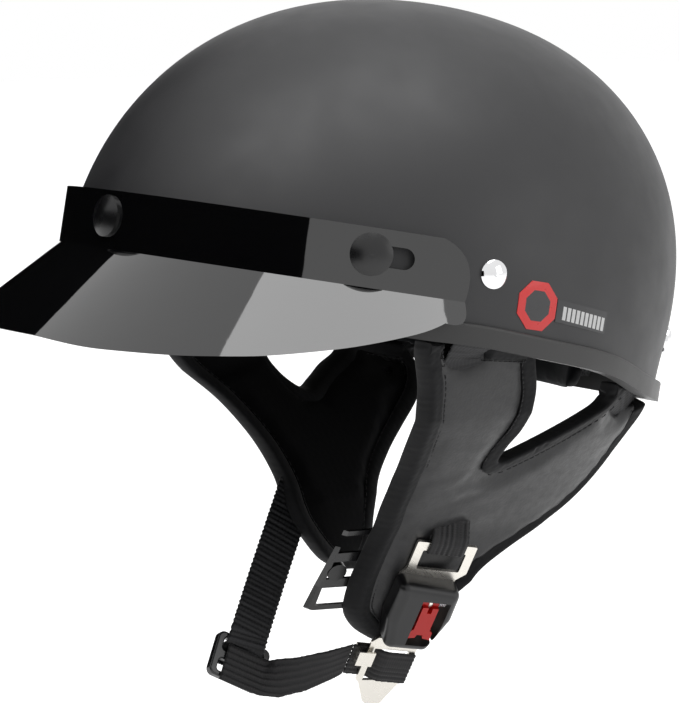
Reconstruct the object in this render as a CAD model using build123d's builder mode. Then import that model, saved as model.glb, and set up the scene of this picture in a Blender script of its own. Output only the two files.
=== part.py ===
from build123d import *
import math
import os

os.makedirs("parts", exist_ok=True)

# Half shell helmet: millimetres, wearer's left is +X, the front is -Y, up is +Z.
# The helmet's own frame is tipped nose up by SHELL_TILT; the harness hangs in the upright frame.

# Driving dimensions of the helmet shell
SHELL_LENGTH = 286.0
SHELL_WIDTH = 247.0
CROWN_HEIGHT = 128.8
CROWN_SHIFT = 12.9
DOME_POWER = 2.18
SHELL_TILT = 10.9
SHELL_WALL = 3.8
RIM_DROP = 33.0
WALL_TUCK = 2.2

# Edge trim and linings
TRIM_PROUD = 2.7
TRIM_INNER = 1.4
TRIM_HEIGHT = 9.0
TRIM_SEAT = 3.0
TRIM_ROUND = 1.2
FOAM_WALL = 24.0
LINER_WALL = 3.0
LINER_LIFT = 4.5
PAD_WALL = 9.0
PAD_RISE = 18.0
PAD_TALL = 38.0
NAPE_FALL = 33.0
BROW_SHARE = 0.42
SIDE_SHARE = 0.34
CROWN_PAD_SHARE = 0.2
POCKET_DEPTH = 12.0
WEB_CHANNEL_DROP = 60.0
STICKER_THICK = 0.25
STICKER_SPREAD = 20.0
OCTAGON = 8
OCTAGON_TURN = 22.5

# Visor
VISOR_WALL = 2.0
VISOR_STAND = 3.1
VISOR_TOP = 24.0
VISOR_CREASE = -0.3
BRIM_DROP = 46.0
BRIM_FLARE = 45.7
BRIM_FLARE_SIDE = 0.86
SLOT_HEIGHT = 8.7
SLOT_RUN = 13.5
BRIM_SLANT = 1.35

# Snaps and rivets
SNAP_CAP = 17.5
SNAP_CAP_RISE = 3.2
SNAP_CAP_EDGE = 1.1
SNAP_SHANK = 8.0
SNAP_RING = 11.5
STUD_HEAD = 5.3
STUD_RISE = 1.6
STUD_FLANGE = 9.0
STUD_FLANGE_DEPTH = 0.8
STUD_SHANK = 4.0
RIVET_HEAD = 12.0
RIVET_RISE = 2.9
RIVET_EDGE = 0.7
RIVET_SHANK = 5.0
RIVET_TAIL = 7.5
RIVET_PEEN = 7.0
STUD_TAIL = 6.2
STUD_NECK = 4.4
STUD_SHOULDER = 0.8
WASHER_SPREAD = 12.5
WASHER_THICK = 1.0
SNAP_HEIGHT = 13.2
SNAP_ANGLE = 37.0
FRONT_RIVET_HEIGHT = 12.7
FRONT_RIVET_ANGLE = 15.0
REAR_RIVET_HEIGHT = -4.0
REAR_RIVET_ANGLE = 51.0

# Harness
HARNESS_DROP = 160.0
COVER_THICK = 2.0
PAD_THICK = 8.4
PAD_SLOPE = 0.5
PAD_SLOPE_LIMIT = 0.5
BINDING_WIDTH = 2.6
BINDING_PROUD = 0.9
WEB_WIDTH = 19.0
WEB_THICK = 1.5
LOOP_WEB_WIDTH = 17.5
LOOP_WEB_THICK = 1.4
WEB_TOP = 9.0
WEB_DOWN = 16.0
WEB_ENTRY = 4.0
WEB_ROOM = 1.6
NOTCH_ROOM = 3.4
FRONT_WEB_DEPTH = 2.85
REAR_WEB_DEPTH = 4.45
FRONT_WEB_LEAN = 0.0
REAR_WEB_LEAN = -45.0

# Links of a strap below its rivet: drop along the wall, then inset from its face
front_web_links = [(13.0, 5.1), (19.5, 6.6), (29.5, 7.2)]
rear_web_links = [(13.0, 6.5), (20.0, 8.6), (28.0, 10.0)]

# Buckle
HOUSING_LENGTH = 37.0
HOUSING_DEPTH = 14.0
FRAME_THICK = 1.6
TONGUE_THICK = 1.5
TONGUE_WIDTH = 17.0
HOUSING_CORNER = 3.2
HOUSING_ROUND = 4.5
BACK_LEVEL = 1.6
BACK_FLOOR = 4.0
FRAME_ROUND = 0.8
FRAME_SLOT_WIDTH = 20.5
FRAME_SLOT_HEIGHT = 10.6
BUCKLE_RIVET = 2.4
BUCKLE_RIVET_HEAD = 0.8
PIN_WIDTH = 2.5
PIN_SEAT = 3.0
PIN_EYE = 1.3
LEVER_LEVEL = 9.6
LEVER_THICK = 3.4
PAWL_LEVEL = 6.3
PAWL_THICK = 1.3
PAWL_BITE = 0.8
SPRING_PITCH = 0.8
SPRING_TURNS = 3.5
SPRING_WIRE = 0.6
KEEPER_SHIFT = 4.5
KEEPER_WIDTH = 8.0
KEEPER_THICK = 0.8

# Slide and strap divider
SLIDE_WIDTH = 27.0
SLIDE_HEIGHT = 21.0
SLIDE_THICK = 4.5
SLIDE_CORNER = 3.2
SLIDE_SLOT_WIDTH = 20.0
SLIDE_SLOT_HEIGHT = 5.8
SLIDE_SLOT_SEAT = 5.0
SLIDE_EDGE = 0.9
DIVIDER_THICK = 3.0
DIVIDER_WIDTH = 25.0
DIVIDER_HEIGHT = 40.0
DIVIDER_BAR = 3.6
DIVIDER_SLOT = 0.22
DIVIDER_RIVET = 9.0

# Clearances
FACE_GAP = 0.05
RUN_GAP = 0.08
SOFT_GAP = 0.3
POCKET_GAP = 1.0
REACH = 400.0

HALF_LENGTH = SHELL_LENGTH / 2
HALF_WIDTH = SHELL_WIDTH / 2
tip_cos = math.cos(math.radians(SHELL_TILT))
tip_sin = math.sin(math.radians(SHELL_TILT))
HELMET = Plane(origin=(0, 0, 0), x_dir=(1, 0, 0), z_dir=(0, tip_sin, tip_cos))
HELMET_SIDE = Plane(origin=(0, 0, 0), x_dir=(0, tip_cos, -tip_sin), z_dir=(1, 0, 0))
HELMET_FRONT = Plane(origin=(0, 0, 0), x_dir=(1, 0, 0), z_dir=(0, -tip_cos, tip_sin))
SIDE = Plane(origin=(0, 0, 0), x_dir=(0, 1, 0), z_dir=(1, 0, 0))

# Angles up the dome at which its ellipses are laid, and shares of the drop below the equator
dome_level_angles = [9, 18, 27, 37, 47, 57, 66, 74, 80.5, 85.5, 88.4]
dome_foot_share = [-2.4, -1.2, 0]

# Lower edge of the edge trim seen from the side: along the half length, down the rim drop
rim_share = [
    (-1.1189, -0.3788), (-1, -0.4091), (-0.8392, -0.4636), (-0.6294, -0.5212), (-0.4196, -0.5394),
    (-0.2797, -0.5273), (-0.1189, -0.5576), (0.0699, -0.6), (0.3077, -0.6909), (0.4755, -0.8394),
    (0.6503, -0.9364), (0.8392, -0.9818), (1, -1), (1.1888, -1.0061),
]

# Visor from the side: lower edge of the brim, then the rear end of the tab
brim_edge_share = [
    (-1.2867, -0.8478), (-1.2657, -0.8652), (-1.2098, -0.8565), (-1.1189, -0.8174), (-1.028, -0.7652),
    (-0.9406, -0.7109), (-0.8462, -0.637), (-0.7273, -0.537), (-0.5874, -0.4022), (-0.4965, -0.3043),
    (-0.4301, -0.2109),
]
tab_edge_share = [
    (-0.4301, -0.2109), (-0.3636, -0.1522), (-0.3392, 0.05), (-0.3413, 0.263), (-0.3552, 0.363),
    (-0.3881, 0.463), (-0.4266, 0.5217),
]

# Harness pad surface: rows of height, then front, middle and rear points across and along
pad_surface_share = [
    (-0.025, (0.6469, -0.3875), (0.7125, 0.0312), (0.5531, 0.575)),
    (-0.2812, (0.55, -0.3125), (0.6094, 0.125), (0.5437, 0.6)),
    (-0.4688, (0.3812, -0.25), (0.4562, 0.1562), (0.4, 0.575)),
    (-0.6562, (0.2375, -0.225), (0.3094, 0.1125), (0.3125, 0.4625)),
    (-0.8125, (0.1313, -0.2375), (0.2188, -0.0125), (0.2938, 0.2)),
    (-1.0312, (0, -0.2625), (0.0813, -0.05), (0.15, 0.1375)),
]

# Left pad outline from the side, in four runs
left_front_share = [
    (-0.3438, -0.05), (-0.3375, -0.0875), (-0.2938, -0.1875), (-0.2687, -0.275), (-0.2375, -0.3688),
    (-0.2062, -0.4625), (-0.1875, -0.5625), (-0.1712, -0.6375), (-0.17, -0.725), (-0.1688, -0.8125),
    (-0.1537, -0.8938), (-0.1106, -0.95), (-0.0563, -0.9875),
]
left_rear_share = [
    (-0.0563, -0.9875), (-0.0125, -0.9844), (0.05, -0.9313), (0.115, -0.85), (0.1688, -0.7875),
    (0.2562, -0.7312), (0.3812, -0.6656), (0.475, -0.5906), (0.5375, -0.5), (0.5625, -0.4125),
    (0.5719, -0.3438), (0.5437, -0.2687),
]
left_window_share = [
    (0.3625, -0.2313), (0.3563, -0.2875), (0.3187, -0.3156), (0.2375, -0.3563), (0.1281, -0.4062),
    (0.0563, -0.4313), (0.05, -0.3875), (0.0625, -0.3375), (0.0588, -0.275), (0.0469, -0.2062),
    (0.0125, -0.125), (0.0094, -0.0906),
]

# Right pad outline from the side
right_front_share = [
    (-0.3438, -0.05), (-0.3344, -0.1125), (-0.3125, -0.1875), (-0.2687, -0.2625), (-0.1688, -0.3688),
    (-0.1094, -0.4813), (-0.0906, -0.575), (-0.1031, -0.65), (-0.0906, -0.7125), (-0.0412, -0.7937),
    (0.0187, -0.8375), (0.0875, -0.8531),
]
right_rear_share = [
    (0.0875, -0.8531), (0.1375, -0.8375), (0.1781, -0.7875), (0.2062, -0.7125), (0.2562, -0.6312),
    (0.3375, -0.5563), (0.425, -0.4875), (0.5188, -0.4125), (0.5625, -0.3375), (0.5437, -0.2687),
]
right_window_share = [
    (0.3625, -0.2313), (0.3375, -0.275), (0.2687, -0.3063), (0.2062, -0.3406), (0.15, -0.3625),
    (0.0938, -0.325), (0.0594, -0.2625), (0.0375, -0.2), (0.0125, -0.125), (0.0094, -0.0906),
]

# Straps inside the pads seen from the side, and where the buckle and slide sit
left_front_web_share = [
    (-0.2125, -0.1062), (-0.15, -0.3125), (-0.0625, -0.475), (-0.0406, -0.5062),
]
right_front_web_share = [
    (-0.2125, -0.1062), (-0.0813, -0.3125), (-0.0187, -0.45),
]
left_rear_web_share = [
    (0.4625, -0.3125), (0.3812, -0.4125), (0.275, -0.5062), (0.1375, -0.5687), (0.05, -0.575),
]
right_rear_web_share = [
    (0.4625, -0.3125), (0.375, -0.3875), (0.2625, -0.4688), (0.15, -0.5125), (0.075, -0.525),
]
buckle_seat_share = [
    (0.2087, -0.0125, -0.83),
]
slide_seat_share = [
    (-0.125, -0.3763, -1.0437),
]
chin_path_share = [
    (-0.2844, -0.0375, -0.5938), (-0.2375, -0.125, -0.7), (-0.1875, -0.2313, -0.8438),
]
run_path_share = [
    (0.0287, -0.1656, -1.0537), (-0.0163, -0.2388, -1.0787), (-0.0537, -0.2938, -1.0887),
]
BUCKLE_FACING = (0.80, -0.36, -0.48)
BUCKLE_ACROSS = (0.3156, 0.9328, -0.1737)
SLIDE_FACING = (0.904, -0.097, 0.407)
SLIDE_ACROSS = (0.30, 0.83, -0.47)
chin_turns = [(0.266, -0.62, -0.739)] * len(chin_path_share)
run_across = [(0.48, 0.0, 0.88), (0.3, 0.16, 0.94), (0.05, 0.36, 0.93)]
run_turns = [(-0.42, -0.86, -0.28), (-0.5, -0.82, -0.25), (-0.54, -0.83, -0.1)]

# Buckle outlines in its own plane: across, then up
housing_outline_share = [
    (-0.3459, 0.3378), (0.4378, 0.2838), (0.4486, -0.1351), (0.2865, -0.6568), (-0.2595, -0.6568),
    (-0.3568, -0.2162),
]
tongue_outline_share = [
    (-0.1757, -0.1081), (0.2027, -0.1081), (0.2432, -0.1622), (0.2432, -0.6811), (0.2838, -0.7297),
    (0.2838, -0.9189), (0.2324, -1.3784), (0.1081, -1.7162), (0.0405, -1.7703), (-0.0676, -1.7703),
    (-0.1351, -1.7162), (-0.2838, -1.4189), (-0.3297, -1.3784), (-0.3297, -0.7568), (-0.2568, -0.6811),
    (-0.2162, -0.6811), (-0.2162, -0.1622),
]
tongue_window_share = [
    (-0.2486, -0.8541), (0.2, -0.8541), (0.2, -1.3243), (-0.2486, -1.3784),
]
sticker_seat_share = [
    (-0.0881, 0.0788),
]
label_share = [
    (-0.0154, 0.203), (0.2056, 0.1333), (0.2056, -0.1515), (-0.0154, -0.0848),
]

# Buckle details in its own plane, as shares of the housing's length
frame_outline_share = [
    (-0.3081, 0.3108), (-0.2568, 0.4054), (-0.2568, 0.8243), (0.5135, 0.8243), (0.5135, 0.4054),
    (0.4054, 0.2973), (0.4162, -0.1351), (0.2649, -0.6351), (-0.2378, -0.6351), (-0.3243, -0.2162),
]
frame_slot_seat_share = [
    (0.127, 0.5595),
]
buckle_rivet_share = [
    (-0.2297, 0.2027), (0.3378, 0.2027),
]
loop_line_share = [
    (1.1757, -0.16), (1.027, -0.1135), (0.8784, -0.0081), (0.7973, 0.023), (0.6946, 0.023),
    (0.6811, 0.0351), (0.6811, 0.0946), (0.6946, 0.1068), (0.8378, 0.1068), (0.9189, 0.0703),
    (1.0541, -0.073), (1.1757, -0.1162),
]
LOOP_SHIFT = 0.135
loop_room_share = [
    (1.1892, -0.1919), (1.0189, -0.1405), (0.8676, -0.0338), (0.7892, -0.0014), (0.7568, -0.0014),
    (0.7568, 0.1351), (0.8514, 0.1351), (0.9432, 0.1027), (1.0568, -0.0432), (1.1892, -0.0919),
]
pin_seat_share = [
    (0.0541, 0.2378),
]
bay_across_share = (-0.0324, 0.3297)
bay_up_share = (-0.5405, 0.1514)
lever_outline_share = [
    (0.0108, 0.0405), (0.0865, 0.0405), (0.0865, -0.0432), (0.1405, -0.0432), (0.1405, 0.0405),
    (0.2162, 0.0405), (0.2162, -0.3081), (0.2595, -0.3405), (0.2595, -0.4541), (0.1622, -0.4378),
    (0.1514, -0.3892), (0.0757, -0.3892), (0.0649, -0.4378), (-0.0243, -0.4541), (-0.0243, -0.3405),
    (0.0108, -0.3081),
]
lever_ear_share = [(0.0108, 0.0865), (0.1405, 0.2162)]
pawl_outline_share = [
    (0.0432, -0.0378), (0.0946, -0.0378), (0.0946, 0.0162), (0.1324, 0.0162), (0.1324, -0.0378),
    (0.1838, -0.0378), (0.1838, -0.3568), (0.0432, -0.3568),
]
pawl_eye_share = (0.0946, 0.1324)
pawl_tooth_share = [
    (0.0541, -0.3081), (0.173, -0.3081), (0.173, -0.3568), (0.0541, -0.3568),
]
spring_seat_share = [0.2378]
latch_window_share = [
    (0.0324, -0.1892), (0.1946, -0.1892), (0.1946, -0.4324), (0.0324, -0.4324),
]
TONGUE_SHIFT = 0.0135
tongue_web_line_share = [
    (-0.5, 0.0595), (-0.2595, 0.0595), (-0.2, 0.0811), (-0.1243, 0.1351), (-0.0649, 0.1541),
    (0.2919, 0.1541),
]
TONGUE_WEB_DROP = 1.11
keeper_line_share = [
    (-0.2432, 0.1865), (-0.4432, 0.1865), (-0.4432, 0.0162), (-0.2432, 0.0162),
]
tongue_end_share = [
    (-0.5027, -1.1108, 0.0595),
]
slide_line_share = [
    (0.6296, 0.1259), (0.3704, 0.1259), (0.2444, 0.0963), (0.1333, -0.0926), (0.0815, -0.1148),
    (-0.1185, -0.1148),
]
slide_end_share = [
    (0.4444, -0.1259, 0.1444), (0.2593, -0.1296, 0.1296), (0.0741, -0.1296, 0.1222),
    (-0.1111, -0.1296, 0.1185), (-0.2963, -0.1296, 0.1167),
]
divider_seat_share = [
    (-0.1719, -0.7625),
]
divider_row_share = [0.33, 0, -0.33]
divider_rivet_share = [
    (-0.2, -0.7625),
]
DIVIDER_FACING = (-0.86, 0.2, 0.45)


def scaled(points, along, down):
    """Turn a table of shares into lengths."""
    return [(y * along, z * down) for y, z in points]


def dome_form(offset):
    """Solid dome grown by offset from the shell's outer face, open-ended well below the rim."""
    crown = CROWN_HEIGHT + offset
    with BuildPart() as form:
        for share in dome_foot_share:
            tuck = 1 + share * WALL_TUCK / SHELL_LENGTH
            with BuildSketch(HELMET.offset(share * RIM_DROP)):
                Ellipse((HALF_WIDTH + offset) * tuck, (HALF_LENGTH + offset) * tuck)
        for angle in dome_level_angles:
            reach = math.cos(math.radians(angle)) ** (2 / DOME_POWER)
            rise = math.sin(math.radians(angle)) ** (2 / DOME_POWER)
            with BuildSketch(HELMET.offset(rise * crown)):
                with Locations((0, rise * CROWN_SHIFT)):
                    Ellipse((HALF_WIDTH + offset) * reach, (HALF_LENGTH + offset) * reach)
        loft()
    return form.part


def above_rim(lift):
    """Region above the rim line raised by lift, the full width of the helmet."""
    points = [(y, z + lift) for y, z in scaled(rim_share, HALF_LENGTH, RIM_DROP)]
    with BuildPart() as region:
        with BuildSketch(HELMET_SIDE):
            with BuildLine():
                Spline(points)
                Polyline(points[-1], (points[-1][0], SHELL_WIDTH), (points[0][0], SHELL_WIDTH), points[0])
            make_face()
        extrude(amount=SHELL_WIDTH, both=True)
    return region.part


def wall_plane(angle, height):
    """Plane on the shell's outer face, facing out, its x rearward on the left side."""
    rise = max(height, 0) / CROWN_HEIGHT
    reach = (1 - rise**DOME_POWER) ** (1 / DOME_POWER)
    across = math.cos(math.radians(angle))
    along = math.sin(math.radians(angle))
    normal = Vector(across / HALF_WIDTH, along / HALF_LENGTH, 0).normalized()
    x = HALF_WIDTH * across * reach
    y = HALF_LENGTH * along * reach + CROWN_SHIFT * rise
    origin = HELMET.from_local_coords((x, y, height))
    facing = HELMET.from_local_coords((normal.X, normal.Y, 0))
    tangent = HELMET.from_local_coords((-normal.Y, normal.X, 0))
    return Plane(origin=origin, x_dir=tangent, z_dir=facing)


def visor_gap(angle, height):
    """Distance along the wall plane's normal from the shell to the visor's outer face."""
    rise = height / CROWN_HEIGHT
    reach = (1 - rise**DOME_POWER) ** (1 / DOME_POWER)
    across = math.cos(math.radians(angle))
    along = math.sin(math.radians(angle))
    normal = Vector(across / HALF_WIDTH, along / HALF_LENGTH, 0).normalized()
    depth = HALF_WIDTH * across * normal.X + HALF_LENGTH * along * normal.Y
    return VISOR_STAND + (1 - reach) * depth - CROWN_SHIFT * rise * normal.Y


def axial(plane):
    """Plane through the axis of a wall plane, its y along that axis."""
    return Plane(origin=plane.origin, x_dir=plane.x_dir, z_dir=-plane.y_dir)


def dome_arc(radius, low, high):
    """Three points of a round cap's profile, level at its crown."""
    rise = high - low
    ball = (radius**2 + rise**2) / (2 * rise)
    middle = high - ball + math.sqrt(ball**2 - radius**2 / 4)
    return (radius, low), (radius / 2, middle), (0, high)


def visor_cylinder(inset):
    """Solid elliptical cylinder inside the visor's outer face."""
    with BuildPart() as form:
        with BuildSketch(HELMET.offset(-BRIM_DROP)):
            Ellipse(HALF_WIDTH + VISOR_STAND - inset, HALF_LENGTH + VISOR_STAND - inset)
        extrude(amount=SHELL_WIDTH)
    return form.part


def ribbon(stations, width, thickness):
    """Flat strap lofted through stations of centre, width direction and run direction."""
    with BuildPart() as strap:
        for centre, across, run in stations:
            with BuildSketch(Plane(origin=centre, x_dir=across, z_dir=run)):
                Rectangle(width, thickness)
        loft(ruled=True)
    return strap.part


def pad_slab(outer, inner):
    """Curved slab between two depths under the left pad's outer face."""
    with BuildPart() as slab:
        for level, front, middle, rear in pad_surface_share:
            drop = level * HARNESS_DROP
            slope = 1 + min(max(-level, 0), PAD_SLOPE_LIMIT) * PAD_SLOPE
            rows = []
            for depth in (outer * slope, inner * slope):
                row = [(x * HARNESS_DROP - depth, y * HARNESS_DROP) for x, y in (front, middle, rear)]
                rows.append(row)
            with BuildSketch(Plane.XY.offset(drop)):
                with BuildLine():
                    ThreePointArc(rows[0][0], rows[0][1], rows[0][2])
                    Line(rows[0][2], rows[1][2])
                    ThreePointArc(rows[1][2], rows[1][1], rows[1][0])
                    Line(rows[1][0], rows[0][0])
                make_face()
        loft(ruled=True)
    return slab.part


def pad_region(front, rear, window, inset):
    """Pad outline seen from the side, each point moved in by inset, drawn through the harness."""
    points = scaled(front[:-1] + rear + window, HARNESS_DROP, HARNESS_DROP)
    moved = []
    for i, (y, z) in enumerate(points):
        before = points[i - 1]
        after = points[(i + 1) % len(points)]
        come = Vector(y - before[0], z - before[1], 0).normalized()
        leave = Vector(after[0] - y, after[1] - z, 0).normalized()
        step = inset / (1 + come.dot(leave))
        moved.append((y - (come.Y + leave.Y) * step, z + (come.X + leave.X) * step))
    turn = len(front)
    close = turn + len(rear) - 1
    with BuildPart() as region:
        with BuildSketch(SIDE):
            with BuildLine():
                Spline(moved[:turn])
                Spline(moved[turn - 1:close])
                Line(moved[close - 1], moved[close])
                Spline(moved[close:])
                Line(moved[-1], moved[0])
            make_face()
        extrude(amount=SHELL_WIDTH)
    return region.part


def web_region(points, width):
    """Band seen from the side along a run of points, drawn through the harness."""
    with BuildPart() as region:
        with BuildSketch(SIDE):
            with BuildLine():
                Polyline(points)
            trace(line_width=width)
        extrude(amount=SHELL_WIDTH)
    return region.part


dome_outer = dome_form(0)
dome_inner = dome_form(-SHELL_WALL)
left_front_line = scaled(left_front_web_share, HARNESS_DROP, HARNESS_DROP)
left_rear_line = scaled(left_rear_web_share, HARNESS_DROP, HARNESS_DROP)
right_front_line = scaled(right_front_web_share, HARNESS_DROP, HARNESS_DROP)
right_rear_line = scaled(right_rear_web_share, HARNESS_DROP, HARNESS_DROP)
left_snap = wall_plane(-SNAP_ANGLE, SNAP_HEIGHT)
right_snap = wall_plane(SNAP_ANGLE - 180, SNAP_HEIGHT)
front_snap = wall_plane(-90, SNAP_HEIGHT)
side_gap = visor_gap(-SNAP_ANGLE, SNAP_HEIGHT)
snap_spots = [(front_snap, visor_gap(-90, SNAP_HEIGHT)), (left_snap, side_gap), (right_snap, side_gap)]
front_rivets = [
    wall_plane(-FRONT_RIVET_ANGLE, FRONT_RIVET_HEIGHT),
    wall_plane(FRONT_RIVET_ANGLE - 180, FRONT_RIVET_HEIGHT),
]
rear_rivets = [
    wall_plane(REAR_RIVET_ANGLE, REAR_RIVET_HEIGHT),
    wall_plane(180 - REAR_RIVET_ANGLE, REAR_RIVET_HEIGHT),
]

BUCKLE_AT = tuple(value * HARNESS_DROP for value in buckle_seat_share[0])
BUCKLE = Plane(origin=BUCKLE_AT, x_dir=BUCKLE_ACROSS, z_dir=BUCKLE_FACING)
SLIDE_AT = tuple(value * HARNESS_DROP for value in slide_seat_share[0])
SLIDE = Plane(origin=SLIDE_AT, x_dir=SLIDE_ACROSS, z_dir=SLIDE_FACING)

# Painted outer shell, cut along the rim line and drilled for studs and rivets
with BuildPart() as outer_shell:
    add(dome_outer)
    add(dome_inner, mode=Mode.SUBTRACT)
    add(above_rim(TRIM_SEAT), mode=Mode.INTERSECT)
    for spot, gap in snap_spots:
        with BuildSketch(spot.offset(-STUD_FLANGE_DEPTH)):
            Circle(STUD_FLANGE / 2 + FACE_GAP)
        extrude(amount=SHELL_WALL, mode=Mode.SUBTRACT)
        with BuildSketch(spot.offset(-SHELL_WALL * 2)):
            Circle(STUD_SHANK / 2 + FACE_GAP)
        extrude(amount=SHELL_WALL * 3, mode=Mode.SUBTRACT)
    for spot in front_rivets + rear_rivets:
        with BuildSketch(spot.offset(-SHELL_WALL * 2)):
            Circle(RIVET_SHANK / 2 + FACE_GAP)
        extrude(amount=SHELL_WALL * 3, mode=Mode.SUBTRACT)

# Rubber bead gripping the shell's cut edge
dome_proud = dome_form(TRIM_PROUD)
dome_leg = dome_form(-SHELL_WALL - TRIM_INNER)
with BuildPart() as edge_trim:
    add(dome_proud)
    add(dome_leg, mode=Mode.SUBTRACT)
    add(above_rim(0), mode=Mode.INTERSECT)
    add(above_rim(TRIM_HEIGHT), mode=Mode.SUBTRACT)
    trim_edges = edge_trim.edges().sort_by(lambda edge: edge.length)[-4:]
    fillet(trim_edges.sort_by(lambda edge: edge.length)[-2:], radius=TRIM_ROUND)
    add(outer_shell.part, mode=Mode.SUBTRACT)

# Webbing against the shell's inner wall, from rivet to rim
web_outer = dome_form(-SHELL_WALL - FACE_GAP)
web_inner = dome_form(-SHELL_WALL - FACE_GAP - WEB_THICK)
washer_outer = dome_form(-SHELL_WALL - 2 * FACE_GAP - WEB_THICK)
washer_inner = dome_form(-SHELL_WALL - 2 * FACE_GAP - WEB_THICK - WASHER_THICK)
stud_washer_inner = dome_form(-SHELL_WALL - FACE_GAP - WASHER_THICK)


def leaning(spot, lean):
    """Plane of a rivet turned in the wall by the lean of its strap."""
    return Plane(spot.location * Rotation(0, 0, lean))


def wall_web(spot, lean, down):
    """Curved webbing patch on the inner wall running down from a rivet, leaning by an angle."""
    with BuildPart() as patch:
        with BuildSketch(leaning(spot, lean).offset(-WEB_WIDTH)):
            with Locations((0, (WEB_TOP - down) / 2)):
                Rectangle(WEB_WIDTH, WEB_TOP + down)
        extrude(amount=WEB_WIDTH * 2)
        add(web_outer, mode=Mode.INTERSECT)
        add(web_inner, mode=Mode.SUBTRACT)
        with BuildSketch(spot.offset(-WEB_WIDTH)):
            Circle(RIVET_SHANK / 2 + FACE_GAP)
        extrude(amount=WEB_WIDTH * 2, mode=Mode.SUBTRACT)
    return patch.part


def pad_point(y, z, depth):
    """Point at a depth under the left pad's outer face, between the rows of the surface."""
    rows = []
    for level, front, middle, rear in pad_surface_share:
        points = [(px * HARNESS_DROP, py * HARNESS_DROP) for px, py in (front, middle, rear)]
        (x1, y1), (x2, y2), (x3, y3) = points
        a = (y - y2) * (y - y3) / ((y1 - y2) * (y1 - y3))
        b = (y - y1) * (y - y3) / ((y2 - y1) * (y2 - y3))
        c = (y - y1) * (y - y2) / ((y3 - y1) * (y3 - y2))
        rows.append((level * HARNESS_DROP, x1 * a + x2 * b + x3 * c))
    for (high, x_high), (low, x_low) in zip(rows, rows[1:]):
        if high >= z >= low:
            share = (high - z) / (high - low)
            slope = 1 + min(-z / HARNESS_DROP, PAD_SLOPE_LIMIT) * PAD_SLOPE
            return (x_high + (x_low - x_high) * share - depth * slope, y, z)


def anchor_web(spot, lean, down, web_line, depth, links):
    """One anchor strap of the left side: wall patch, bend over the rim and run in the pad."""
    stations = []
    run_dir = -leaning(spot, lean).y_dir
    across_dir = leaning(spot, lean).x_dir
    for drop, inset in links:
        centre = spot.origin + run_dir * drop - spot.z_dir * inset
        stations.append((centre, across_dir, run_dir))
    first, second = web_line[:2]
    turn = Vector(0, second[0] - first[0], second[1] - first[1]).normalized()
    low_a = Vector(*pad_point(first[0], first[1], depth))
    low_b = low_a + turn * WEB_ENTRY
    low_b = Vector(*pad_point(low_b.Y, low_b.Z, depth))
    heading = (low_b - low_a).normalized()
    for low in (low_a, low_b):
        reach = Vector(0, -turn.Z, turn.Y) * (WEB_WIDTH / 2)
        ends = [low + reach, low - reach]
        ends = [Vector(*pad_point(end.Y, end.Z, depth)) for end in ends]
        side = (ends[0] - ends[1]).normalized()
        side = side if side.dot(across_dir) > 0 else side * -1
        stations.append((low, side, heading))
    link = ribbon(stations, WEB_WIDTH, WEB_THICK)
    inside = pad_slab(depth - WEB_THICK / 2, depth + WEB_THICK / 2)
    inside &= web_region(web_line, WEB_WIDTH)
    entry = [(centre.Y, centre.Z) for centre, across, run in stations[1:3]]
    notch = pad_slab(-WEB_WIDTH, depth + WEB_THICK / 2 + NOTCH_ROOM)
    notch &= web_region(entry + [(low_a.Y, low_a.Z), (low_b.Y, low_b.Z)], WEB_WIDTH + POCKET_GAP)
    channel = pad_slab(COVER_THICK, depth + WEB_THICK / 2 + WEB_ROOM)
    channel &= web_region(entry + web_line, WEB_WIDTH + POCKET_GAP)
    return wall_web(spot, lean, down), link, inside, notch, channel


left_front_parts = anchor_web(
    front_rivets[0], FRONT_WEB_LEAN, WEB_DOWN, left_front_line, FRONT_WEB_DEPTH, front_web_links)
left_rear_parts = anchor_web(
    rear_rivets[0], REAR_WEB_LEAN, WEB_DOWN, left_rear_line, REAR_WEB_DEPTH, rear_web_links)
right_front_parts = anchor_web(
    front_rivets[0], FRONT_WEB_LEAN, WEB_DOWN, right_front_line, FRONT_WEB_DEPTH, front_web_links)
right_rear_parts = anchor_web(
    rear_rivets[0], REAR_WEB_LEAN, WEB_DOWN, right_rear_line, REAR_WEB_DEPTH, rear_web_links)
with BuildPart() as left_front_strap:
    add(left_front_parts[0])
    add(left_front_parts[1])
    add(left_front_parts[2])
with BuildPart() as left_rear_strap:
    add(left_rear_parts[0])
    add(left_rear_parts[1])
    add(left_rear_parts[2])
with BuildPart() as right_front_strap:
    add(right_front_parts[0])
    add(right_front_parts[1])
    add(right_front_parts[2])
    mirror(about=Plane.YZ, mode=Mode.REPLACE)
with BuildPart() as right_rear_strap:
    add(right_rear_parts[0])
    add(right_rear_parts[1])
    add(right_rear_parts[2])
    mirror(about=Plane.YZ, mode=Mode.REPLACE)

# Rivets and washers that hold the anchor straps
with BuildPart() as front_strap_rivets:
    for spot in front_rivets:
        with BuildSketch(axial(spot)):
            with BuildLine():
                Polyline((0, -RIVET_RISE), (RIVET_HEAD / 2, -RIVET_RISE), (RIVET_HEAD / 2, RIVET_EDGE))
                ThreePointArc(*dome_arc(RIVET_HEAD / 2, RIVET_EDGE, RIVET_RISE))
                Line((0, RIVET_RISE), (0, -RIVET_RISE))
            make_face()
        revolve(axis=Axis(spot.origin, spot.z_dir))
    add(dome_outer, mode=Mode.SUBTRACT)
    for spot in front_rivets:
        with BuildSketch(spot.offset(-RIVET_TAIL)):
            Circle(RIVET_SHANK / 2)
        extrude(amount=RIVET_TAIL + RIVET_EDGE)
        with BuildSketch(spot.offset(-RIVET_TAIL - RIVET_EDGE)):
            Circle(RIVET_PEEN / 2)
        extrude(amount=RIVET_EDGE)
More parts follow.
